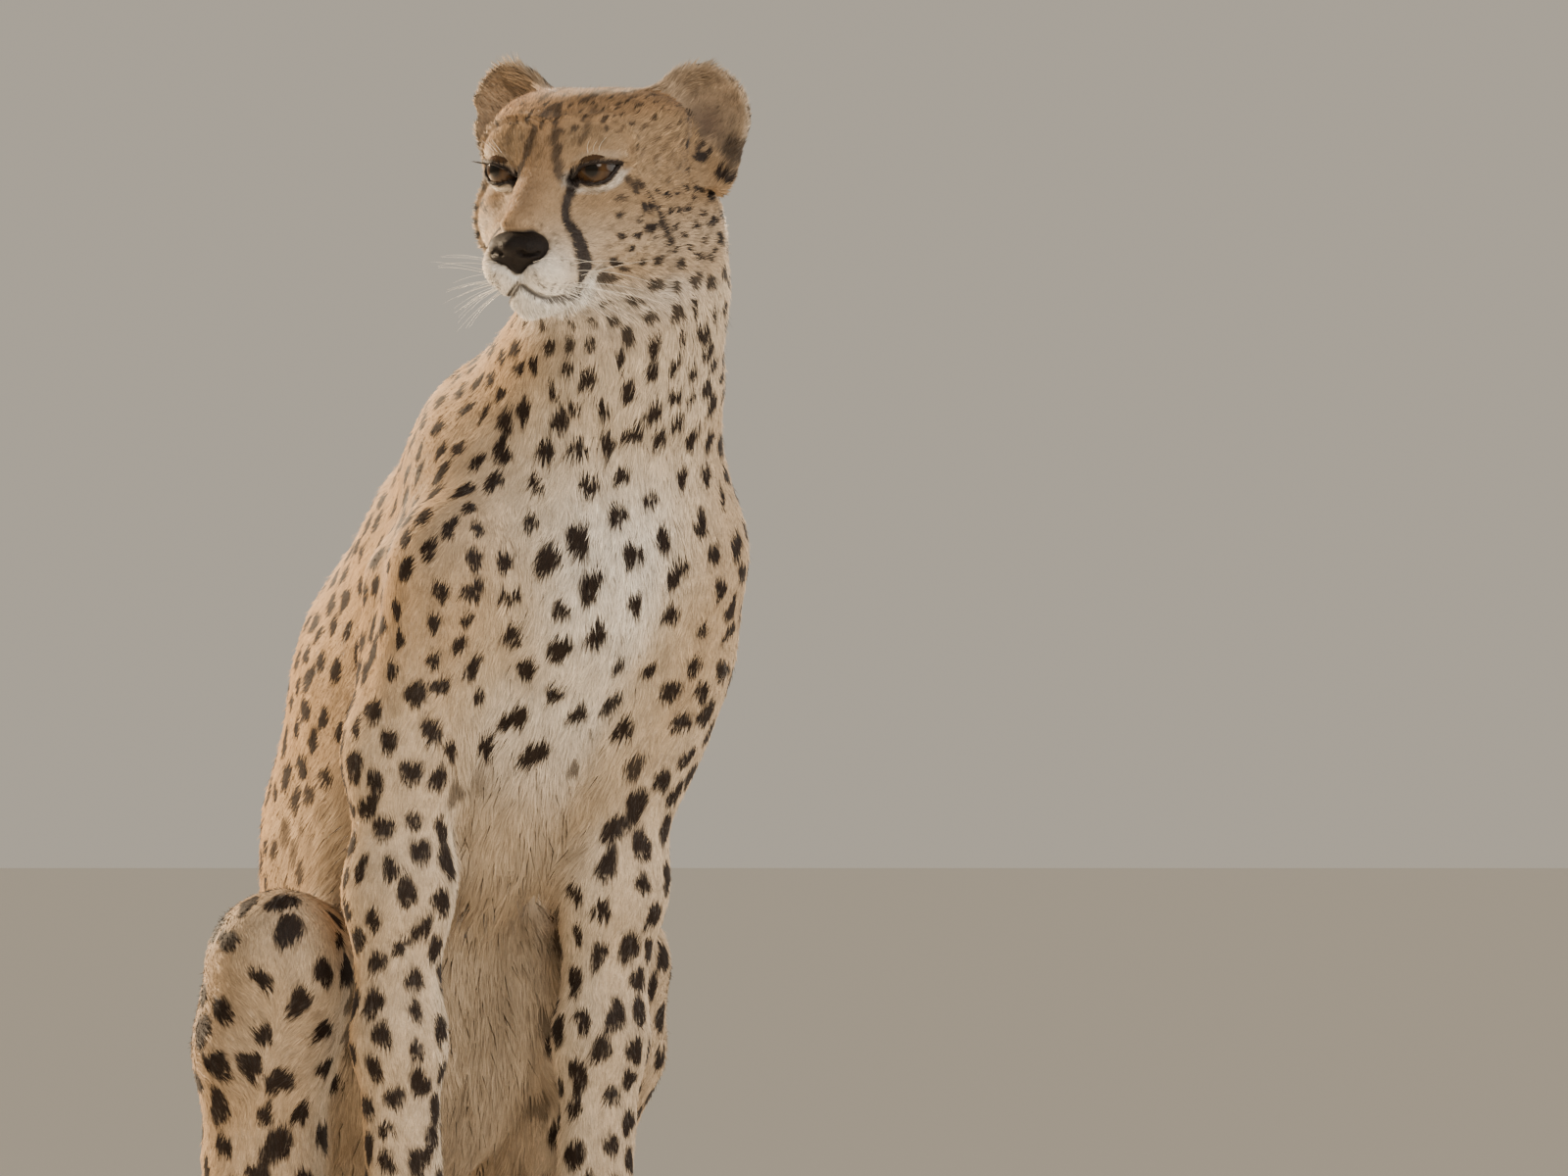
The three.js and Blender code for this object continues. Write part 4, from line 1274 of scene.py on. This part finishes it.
# pupil, iris and dark edge; the iris is its own brown, darkened further as painted shade from the brow
stops = [
    (0.0, (0.004, 0.003, 0.002)), (0.29, (0.004, 0.003, 0.002)), (0.34, (0.020, 0.010, 0.005)),
    (0.52, (0.050, 0.026, 0.010)), (0.76, (0.036, 0.018, 0.008)), (0.90, (0.014, 0.008, 0.006)),
    (1.0, (0.012, 0.008, 0.006)),
]
ramp.color_ramp.elements[0].position, ramp.color_ramp.elements[0].color = stops[0][0], (*stops[0][1], 1)
ramp.color_ramp.elements[1].position, ramp.color_ramp.elements[1].color = stops[-1][0], (*stops[-1][1], 1)
for position, colour in stops[1:-1]:
    ramp.color_ramp.elements.new(position).color = (*colour, 1)
flecks = tree.nodes.new("ShaderNodeTexNoise")
flecks.inputs["Scale"].default_value = 900
flecks.inputs["Detail"].default_value = 5
coords = tree.nodes.new("ShaderNodeTexCoord")
shade = tree.nodes.new("ShaderNodeMapRange")
shade.inputs["To Min"].default_value = 0.6
shade.inputs["To Max"].default_value = 1.4
scale = tree.nodes.new("ShaderNodeVectorMath")
scale.operation = "SCALE"
tree.links.new(coords.outputs["Object"], flecks.inputs["Vector"])
tree.links.new(flecks.outputs["Fac"], shade.inputs["Value"])
tree.links.new(reach.outputs["Fac"], ramp.inputs["Fac"])
tree.links.new(ramp.outputs["Color"], scale.inputs[0])
tree.links.new(shade.outputs["Result"], scale.inputs["Scale"])
tree.links.new(scale.outputs["Vector"], shader.inputs["Base Color"])
for s, word in ((1, "left"), (-1, "right")):
    show(f"eyeball_{word}", scaled(eyeball(s)), eye_finish, [f"eye_{word}"])
print("eyes built")

# %% [markdown]
# ## Nose pad
# Bare leathery skin: wide above, drawn to a point at the lip, with a comma of a nostril on each side and a
# groove down the middle. It is made like the skin, from balls that blend, with the nostrils taken away.

# %% Mesh the nose pad
verts, quads = net(nose_field, [-30, -122, -62], [30, -76, -16], 1.0)
verts = settle(verts, nose_field, 2)
nose_mesh = mesh_of("nose_pad", from_head(verts), quads)
nose_finish, tree, shader = finish_named(
    "nose_leather", 0.6, Coat_Weight=0.04, Coat_Roughness=0.4, Specular_IOR_Level=0.12
)
pebbles = tree.nodes.new("ShaderNodeTexVoronoi")
pebbles.inputs["Scale"].default_value = 1100
coords = tree.nodes.new("ShaderNodeTexCoord")
bump = tree.nodes.new("ShaderNodeBump")
bump.inputs["Strength"].default_value = 0.9
bump.inputs["Distance"].default_value = 0.0005
tint = tree.nodes.new("ShaderNodeValToRGB")
tint.color_ramp.elements[0].color = (0.011, 0.007, 0.005, 1)
tint.color_ramp.elements[1].color = (0.004, 0.003, 0.003, 1)
tree.links.new(coords.outputs["Object"], pebbles.inputs["Vector"])
tree.links.new(pebbles.outputs["Distance"], bump.inputs["Height"])
tree.links.new(pebbles.outputs["Distance"], tint.inputs["Fac"])
tree.links.new(tint.outputs["Color"], shader.inputs["Base Color"])
tree.links.new(bump.outputs["Normal"], shader.inputs["Normal"])
show("nose_pad", scaled(nose_mesh), nose_finish, ["nose"])
print("nose pad quads:", len(quads))

# %% [markdown]
# ## Whiskers, lashes and claws with Geometry Nodes
# All three are thin tapered horns that follow a line. One node tree makes them: Mesh to Curve, a radius that
# falls from root to tip, Curve to Mesh, Realize Instances and Set Material.

# %% The tapered tube tree
def taper_tree(name, material, sides):
    tree = bpy.data.node_groups.new(name, "GeometryNodeTree")
    face = tree.interface
    face.new_socket("Geometry", in_out="INPUT", socket_type="NodeSocketGeometry")
    root = face.new_socket("Root radius", in_out="INPUT", socket_type="NodeSocketFloat")
    tip = face.new_socket("Tip radius", in_out="INPUT", socket_type="NodeSocketFloat")
    face.new_socket("Geometry", in_out="OUTPUT", socket_type="NodeSocketGeometry")
    new, link = tree.nodes.new, tree.links.new
    inside, outside = new("NodeGroupInput"), new("NodeGroupOutput")
    to_curve, share = new("GeometryNodeMeshToCurve"), new("GeometryNodeSplineParameter")
    radius = new("GeometryNodeSetCurveRadius")
    span = new("ShaderNodeMapRange")
    ring, tube = new("GeometryNodeCurvePrimitiveCircle"), new("GeometryNodeCurveToMesh")
    real, paint = new("GeometryNodeRealizeInstances"), new("GeometryNodeSetMaterial")
    ring.inputs["Resolution"].default_value = sides
    ring.inputs["Radius"].default_value = 1.0
    tube.inputs["Fill Caps"].default_value = True
    paint.inputs["Material"].default_value = material
    link(inside.outputs["Geometry"], to_curve.inputs["Mesh"])
    link(to_curve.outputs["Curve"], radius.inputs["Curve"])
    link(share.outputs["Factor"], span.inputs["Value"])
    link(inside.outputs["Root radius"], span.inputs["To Min"])
    link(inside.outputs["Tip radius"], span.inputs["To Max"])
    link(span.outputs["Result"], radius.inputs["Radius"])
    link(radius.outputs["Curve"], tube.inputs["Curve"])
    link(ring.outputs["Curve"], tube.inputs["Profile Curve"])
    if "Scale" in tube.inputs:
        link(span.outputs["Result"], tube.inputs["Scale"])
    link(tube.outputs["Mesh"], real.inputs["Geometry"])
    link(real.outputs["Geometry"], paint.inputs["Geometry"])
    link(paint.outputs["Geometry"], outside.inputs["Geometry"])
    return tree, root.identifier, tip.identifier


def horns(name, lines, root, tip, sides, material):
    """One mesh of tapered tubes along lines of places, in metres."""
    verts, edges = [], []
    for line in lines:
        start = len(verts)
        verts += to_metres(line).tolist()
        edges += [(start + i, start + i + 1) for i in range(len(line) - 1)]
    source = bpy.data.meshes.new(name + "_lines")
    source.from_pydata(verts, edges, [])
    carrier = bpy.data.objects.new(name + "_lines", source)
    bpy.context.scene.collection.objects.link(carrier)
    tree, root_id, tip_id = taper_tree(name, material, sides)
    modifier = carrier.modifiers.new("tubes", "NODES")
    modifier.node_group = tree
    modifier[root_id] = root / 1000
    modifier[tip_id] = tip / 1000
    bpy.context.view_layer.update()
    ready = carrier.evaluated_get(bpy.context.evaluated_depsgraph_get())
    mesh = bpy.data.meshes.new_from_object(ready)
    mesh.name = name
    bpy.data.objects.remove(carrier)
    print(name, "triangles:", sum(len(p.vertices) - 2 for p in mesh.polygons))
    return mesh


# %% Whiskers and lashes
whisker_finish, tree, shader = finish_named("whisker_horn", 0.35, Specular_IOR_Level=0.5)
shader.inputs["Base Color"].default_value = (0.86, 0.80, 0.70, 1)
add_bump(tree, shader, 1500, 0.2, 0.0002)
lash_finish, tree, shader = finish_named("lash_hair", 0.5)
shader.inputs["Base Color"].default_value = (0.02, 0.012, 0.008, 1)
add_bump(tree, shader, 1500, 0.2, 0.0002)
rng = np.random.default_rng(21)
whiskers = []
for s in (1, -1):
    for row in range(4):
        for k in range(6):
            root = WHISKER_ROOTS[6 * row + k] * [s, 1, 1]
            length = rng.uniform(26, 50) * (0.7 + 0.1 * k)
            way = np.array([s * (0.86 + 0.04 * k), -0.34 + 0.13 * k, 0.16 - 0.2 * row + rng.normal(0, 0.08)])
            way /= np.linalg.norm(way)
            sag = np.array([s * -0.1, 0.55, -0.75]) * rng.uniform(0.1, 0.34)
            t = np.linspace(0, 1, 9)[:, None]
            whiskers.append(from_head(root - 1.5 * way + length * (t * way + t**2 * sag)))
    for k in range(3):
        root = to_head(settle(from_head([[s * (32 + 4 * k), -58, 24 + 0.6 * k]]), skin_field, 5))[0]
        way = unit(np.array([[s * (0.2 + 0.12 * k), -0.62, 0.75]]))[0]
        t = np.linspace(0, 1, 8)[:, None]
        bend = t * way + t**2 * np.array([s * 0.1, 0.3, -0.15])
        whiskers.append(from_head(root + rng.uniform(11, 18) * bend))
show("whiskers", horns("whiskers", whiskers, 0.14, 0.04, 5, whisker_finish), None)
lashes = []
for s in (1, -1):
    for k in range(26):
        share = k / 25
        a = -10 + 26 * share
        b = np.interp(a, [q[0] for q in EYE_TOP], [q[1] for q in EYE_TOP])
        ahead = math.sqrt(max(EYE["radius"] ** 2 - a * a - b * b, 4)) + 1.4
        root = np.array([a, b + 0.5, ahead])
        way = np.array([0.35 + 0.5 * share, 0.25, 0.75]) * (5.5 + 3.5 * share) * rng.uniform(0.8, 1.15)
        t = np.linspace(0, 1, 6)[:, None]
        q = (root + t * way + t**2 * np.array([0.4, 0.9 - 1.6 * share, -0.8])) @ EYE_AXES.T + EYE_SEAT
        lashes.append(from_head(q * np.array([s, 1, 1])))
show("lashes", horns("lashes", lashes, 0.22, 0.05, 4, lash_finish), None)

# %% Claws
claw_finish, tree, shader = finish_named("claw_horn", 0.3, Coat_Weight=0.3, Coat_Roughness=0.2)
grain = add_bump(tree, shader, 600, 0.25, 0.0004)
horn_tint = tree.nodes.new("ShaderNodeValToRGB")
horn_tint.color_ramp.elements[0].color = (0.018, 0.013, 0.011, 1)
horn_tint.color_ramp.elements[1].color = (0.075, 0.055, 0.043, 1)
tree.links.new(grain.outputs["Fac"], horn_tint.inputs["Fac"])
tree.links.new(horn_tint.outputs["Color"], shader.inputs["Base Color"])
for foot, place in (("forepaw", FORE_PAW), ("hindfoot", HIND_PAW)):
    for s, word in ((1, "left"), (-1, "right")):
        lines = []
        for x, y in toe_tips(place):
            x = s * x + lean(np.array(0.0))
            stations = [
                [x, y + 7, 12.5], [x, y + 1, 13.2], [x, y - 4, 11.6], [x, y - 7.6, 8.2], [x, y - 8.8, 5.4],
            ]
            lines.append(smooth_line(stations, 12))
        claws = horns(f"claws_{foot}_{word}", lines, 3.5, 0.7, 12, claw_finish)
        show(f"claws_{foot}_{word}", claws, None, [f"claw_{foot}_{word}_{n}" for n in range(1, 5)])

# %% [markdown]
# ## The coat
# Short hair lies flat in thousands of small overlapping locks. Each lock here is a slim three-sided spike
# whose root is sunk in the skin. It takes the skin's colour at its root, a little darker there and lighter
# at the tip. Particle hair would be quicker to make, but only plain mesh can be carried to other tools.
# Each lock also has its small patch on a UV map that unrolls the body bone by bone, so that colours can be
# baked.

# %% How long, how dense and how high
def coat_style(p, part):
    """Length, width, lift and hairs per square millimetre."""
    style = np.tile([7.6, 1.4, 0.19, 0.46], (len(p), 1))

    def over(share, values):
        style[:] = style * (1 - share[:, None]) + np.array(values) * share[:, None]

    h = part["h"]
    m = folded(h)
    over(part["neck"], [8.0, 1.25, 0.21, 0.52])
    over(part["back"], [8.4, 1.4, 0.22, 0.46])
    over(part["front"], [12.0, 1.35, 0.25, 0.46])
    over(part["belly"], [19.0, 1.5, 0.20, 0.42])
    over(part["thigh"], [8.2, 1.4, 0.2, 0.44])
    over(part["leg"], [7.2, 1.25, 0.19, 0.52])
    over(part["inner"] * 0.6, [11.0, 1.4, 0.26, 0.42])
    over(part["foot"], [6.0, 1.2, 0.22, 0.62])
    over(part["tail"], [14.0, 1.6, 0.27, 0.46])
    _, share = line_distance(p, TAIL[6:])
    over(part["tail"] * ease(share, 0.82, 0.95), [22.0, 1.8, 0.4, 0.5])
    over(part["head"], [6.8, 1.0, 0.22, 0.95])
    face = part["head"] * ease(-m[:, 1], 10, 45)
    over(face, [4.6, 0.8, 0.2, 1.25])
    over(part["head"] * ease(m[:, 2], 48, 60), [7.2, 0.9, 0.36, 1.2])
    over(part["head"] * ease(-m[:, 1], 62, 82), [3.6, 0.72, 0.18, 1.4])
    over(part["head"] * ease(m[:, 2], -52, -72) * (m[:, 1] > -80), [8.4, 1.0, 0.27, 0.8])
    over(part["head"] * ease(m[:, 2], -66, -80) * (m[:, 1] <= -70), [7.5, 0.85, 0.34, 1.0])
    for s in (1, -1):
        q = to_ear(h, s)
        behind, out = dish(q)
        on = ease(q[:, 2], -2, 8) * (np.abs(behind) < 8) * (out < 5)
        over(on, [4.6, 0.8, 0.24, 1.1])
        over(on * ease(out, -5, -1), [6.0, 0.8, 0.42, 1.3])
        fringe = on * (behind < 0) * ease(-q[:, 0], 4, 22)
        over(fringe, [11.0, 0.8, 0.42, 0.9])
    style[:, 0] *= 1 + 0.12 * ripple(p, 40, 9)
    return style


def bare(p, n, part):
    """Where no hair grows: eyes, nose, mouth line, soles."""
    m = folded(part["h"])
    e = (m - EYE_SEAT) @ EYE_AXES
    eye = (e[:, 2] > -3) & (almond_distance(e[:, :2]) < 0.7) & (part["head"] > 0.5)
    mouth = (line_distance(m, MOUTH)[0] < 1.2) | (line_distance(m, PHILTRUM)[0] < 0.9)
    nose = (nose_field(part["h"]) < 1.0) | (np.linalg.norm(m - NOSTRIL, axis=1) < 9)
    sole = (p[:, 2] < 2.2) | ((n[:, 2] < -0.75) & (p[:, 2] < 9))
    return eye | mouth | nose | sole


# %% Sow the locks
def area_of(p, tris):
    return np.linalg.norm(np.cross(p[tris[:, 1]] - p[tris[:, 0]], p[tris[:, 2]] - p[tris[:, 0]]), axis=1) / 2


SHARE_OF_COAT = 1.0
LOCKS_AT_MOST = 495000
part = body_parts(SKIN_P, SKIN_N)
vertex_style = coat_style(SKIN_P, part)
density = vertex_style[SKIN_T, 3].mean(1)
weight = area_of(SKIN_P, SKIN_T) * density
rng = np.random.default_rng(77)
count = int(min(weight.sum(), LOCKS_AT_MOST) * SHARE_OF_COAT)
chosen = rng.choice(len(SKIN_T), count, p=weight / weight.sum())
a, b = rng.random((2, count))
over_one = a + b > 1
a[over_one], b[over_one] = 1 - a[over_one], 1 - b[over_one]
bary = np.stack([1 - a - b, a, b], 1)[..., None]
root = (SKIN_P[SKIN_T[chosen]] * bary).sum(1)
normal = unit((SKIN_N[SKIN_T[chosen]] * bary).sum(1))
part = body_parts(root, normal)
keep = ~bare(root, normal, part)
root, normal = root[keep], normal[keep]
part = {k: v[keep] for k, v in part.items()}
style = coat_style(root, part)
colour, _ = coat_colour(root, normal)
way = lie(root, normal)
print("locks:", len(root))


# %% Names and unrolled places
def unrolled(p, n, part):
    """Which coat piece a place belongs to, and its place on that piece's unrolled map."""
    nearest, along = [], []
    for i in range(0, len(p), 20000):
        d, t = bone_table(p[i : i + 20000])
        k = d.argmin(1)
        nearest.append(k)
        along.append(t[np.arange(len(k)), k])
    k, t = np.concatenate(nearest), np.concatenate(along)
    run = unit(BONE_B - BONE_A)[k]
    side = unit(np.cross(run, np.array([[0.31, 0.17, 0.93]])))
    out = p - BONE_A[k] - run * ((p - BONE_A[k]) * run).sum(1, keepdims=True)
    angle = np.arctan2((out * np.cross(run, side)).sum(1), (out * side).sum(1)) / (2 * math.pi) + 0.5
    names = np.array([n.split("_")[0] for n in BONE_NAMES])[k]
    uv = np.stack([angle, t], 1)
    tile = k.copy()
    h = part["h"]
    on_head = part["head"] > 0.5
    r = np.linalg.norm(h, axis=1)
    turn = np.arctan2(h[:, 0], -h[:, 1]) / (2 * math.pi) + 0.5
    rise = np.arcsin(h[:, 2] / r) / math.pi + 0.5
    uv[on_head] = np.stack([turn, rise], 1)[on_head]
    names = np.where(on_head, "face", names)
    tile[on_head] = 0
    for s in (1, -1):
        q = to_ear(h, s)
        behind, rim = dish(q)
        on = (q[:, 2] > 2) & (np.abs(behind) < 8) & (rim < 5) & on_head
        uv[on] = np.clip(np.stack([q[:, 0] / 90 + 0.5, q[:, 2] / 70], 1), 0, 1)[on]
        names = np.where(on, "ears", names)
        tile[on] = (np.where(behind < 0, 0, 1) + (2 if s > 0 else 0))[on]
    return names, tile, uv


piece_name, tile, place = unrolled(root, normal, part)


# %% Make the spikes
GUARD_SHARE = 0.03  # finer hairs that stand up a little from the coat
ROOT_DEPTH = 0.8  # how far a root is sunk in the skin
FLOOR_GAP = 0.3  # the lowest that a tip may reach


def spikes(root, normal, way, style, rng):
    """Four corners and three faces to a lock, with soft normals."""
    count = len(root)
    length = (style[:, 0] * rng.uniform(0.72, 1.2, count))[:, None]
    width = (style[:, 1] * rng.uniform(0.8, 1.2, count))[:, None]
    lift = (style[:, 2] + rng.normal(0, 0.06, count))[:, None]
    guard = (rng.random(count) < GUARD_SHARE)[:, None]
    length, width, lift = length * (1 + 0.12 * guard), width * (1 - 0.45 * guard), lift + 0.25 * guard
    across = np.cross(normal, way)
    clump = 0.22 * ripple(root, 16, 31) + rng.normal(0, 0.13, count)
    way = unit(way + clump[:, None] * across)
    across = np.cross(normal, way)
    base = root - ROOT_DEPTH * normal
    tip = base + length * (way * np.cos(lift) + normal * np.sin(lift))
    tip[:, 2] = np.maximum(tip[:, 2], FLOOR_GAP)
    left, right = base + across * width / 2, base - across * width / 2
    top = base + normal * (0.4 * width + 0.75) + way * 0.12 * length
    corners = np.stack([left, right, top, tip], 1).reshape(-1, 3)
    soft = unit(normal + 0.1 * way)
    shade = np.stack(
        [unit(soft + 0.45 * across), unit(soft - 0.45 * across), soft, unit(soft + 0.25 * way)], 1
    ).reshape(-1, 3)
    start = 4 * np.arange(count)[:, None]
    faces = np.hstack([start + [0, 2, 3], start + [2, 1, 3], start + [1, 0, 3]]).reshape(-1, 3)
    return corners, faces, shade


def quick_mesh(name, verts, tris):
    mesh = bpy.data.meshes.new(name)
    mesh.vertices.add(len(verts))
    mesh.vertices.foreach_set("co", verts.ravel())
    mesh.loops.add(tris.size)
    mesh.loops.foreach_set("vertex_index", tris.ravel().astype(np.int32))
    mesh.polygons.add(len(tris))
    mesh.polygons.foreach_set("loop_start", np.arange(0, tris.size, 3, dtype=np.int32))
    mesh.update(calc_edges=True)
    return mesh


LOCKS_IN_A_PIECE = 64000
PATCH = 0.003
CORNERS = PATCH * np.array([[-0.5, -0.4], [0.5, -0.4], [0.0, -0.1], [0.0, 0.6]])


def coat_piece(name, pick, seed):
    rng = np.random.default_rng(seed)
    verts, tris, shade = spikes(root[pick], normal[pick], way[pick], style[pick], rng)
    mesh = quick_mesh(name, to_metres(verts), tris)
    vary = 0.13 + 0.13 * part["head"][pick]
    tint = (1 + vary * rng.normal(0, 1, len(pick))).clip(0.55, 1.6)
    # small light and dark flecks
    tint *= 1 + (0.08 + 0.12 * part["head"][pick]) * ripple(root[pick], 5.5, 57)
    tint = tint[:, None, None]
    shades = np.array([0.8, 0.8, 0.9, 1.14])[None, :, None]
    paint = np.clip(colour[pick][:, None, :] * shades * tint, 0, 1).reshape(-1, 3)
    give_colour(mesh, paint)
    tiles = sorted(set(tile[pick]))
    across = math.ceil(math.sqrt(len(tiles)))
    number = np.searchsorted(tiles, tile[pick])
    spot = np.stack([number % across, number // across], 1) + 0.02 + 0.96 * place[pick]
    uv = (spot / across)[:, None, :] + CORNERS
    layer = mesh.uv_layers.new(name="OFBake")
    layer.data.foreach_set("uv", np.clip(uv.reshape(-1, 2), 0, 1)[tris.ravel()].ravel())
    show(name, mesh, coat_finish)
    mesh.normals_split_custom_set_from_vertices(shade)
    return len(tris)


total = 0
for part_name in sorted(set(piece_name)):
    members = np.where(piece_name == part_name)[0]
    parts = max(1, math.ceil(len(members) / LOCKS_IN_A_PIECE))
    members = rng.permutation(members)
    for n in range(parts):
        total += coat_piece(f"coat_{part_name}_{n + 1}", members[n::parts], 100 + n)
print("coat triangles:", total)

# %% [markdown]
# ## Floor, light and camera
# A plain pale floor and soft studio light. A long lens from far away keeps the slender look of the animal.

# %% Floor
floor_mesh = bpy.data.meshes.new("floor")
floor_bm = bmesh.new()
bmesh.ops.create_circle(floor_bm, cap_ends=True, segments=128, radius=60)
floor_bm.to_mesh(floor_mesh)
floor = bpy.data.objects.new("floor", floor_mesh)
bpy.context.scene.collection.objects.link(floor)
floor_finish, tree, shader = finish_named("pale_floor", 0.9)
shader.inputs["Base Color"].default_value = (0.84, 0.80, 0.73, 1)
floor_mesh.materials.append(floor_finish)

# %% Light
def softbox(name, place, aim, size, power, colour):
    data = bpy.data.lights.new(name, "AREA")
    data.shape = "DISK"
    data.size = size
    data.energy = power
    data.color = colour
    lamp = bpy.data.objects.new(name, data)
    lamp.location = place
    lamp.rotation_euler = (Vector(aim) - Vector(place)).to_track_quat("-Z", "Y").to_euler()
    bpy.context.scene.collection.objects.link(lamp)
    return lamp


softbox("key", (-0.6, -3.4, 2.4), (0, 0, 0.5), 2.0, 108, (1.0, 0.94, 0.86))
softbox("fill", (2.6, -2.2, 1.3), (0, 0, 0.5), 2.4, 55, (1.0, 0.94, 0.86))
softbox("rim_left", (-1.5, 3.0, 1.8), (0, 0, 0.55), 0.8, 520, (1.0, 0.76, 0.5))
softbox("rim_right", (2.2, 2.4, 1.6), (0, 0, 0.55), 0.8, 190, (1.0, 0.82, 0.6))
world = bpy.data.worlds.new("studio")
world.use_nodes = True
world.node_tree.nodes["Background"].inputs["Color"].default_value = (0.80, 0.71, 0.58, 1)
world.node_tree.nodes["Background"].inputs["Strength"].default_value = 0.60
bpy.context.scene.world = world

# %% Camera
LOOK = math.radians(26)
AIM_ASIDE, AIM_HEIGHT = 273, 541.9
SENSOR, VIEW_WIDTH = 36, 1.056
toward = np.array([-math.sin(LOOK), -math.cos(LOOK), 0.0])
aim = to_metres(np.array([AIM_ASIDE * math.cos(LOOK), -AIM_ASIDE * math.sin(LOOK), AIM_HEIGHT]))
DISTANCE = 32.0
camera_data = bpy.data.cameras.new("camera")
camera_data.lens = SENSOR * DISTANCE / VIEW_WIDTH
camera = bpy.data.objects.new("camera", camera_data)
camera.location = Vector(aim + toward * DISTANCE)
camera.rotation_euler = (-Vector(toward)).to_track_quat("-Z", "Y").to_euler()
bpy.context.scene.collection.objects.link(camera)
bpy.context.scene.camera = camera
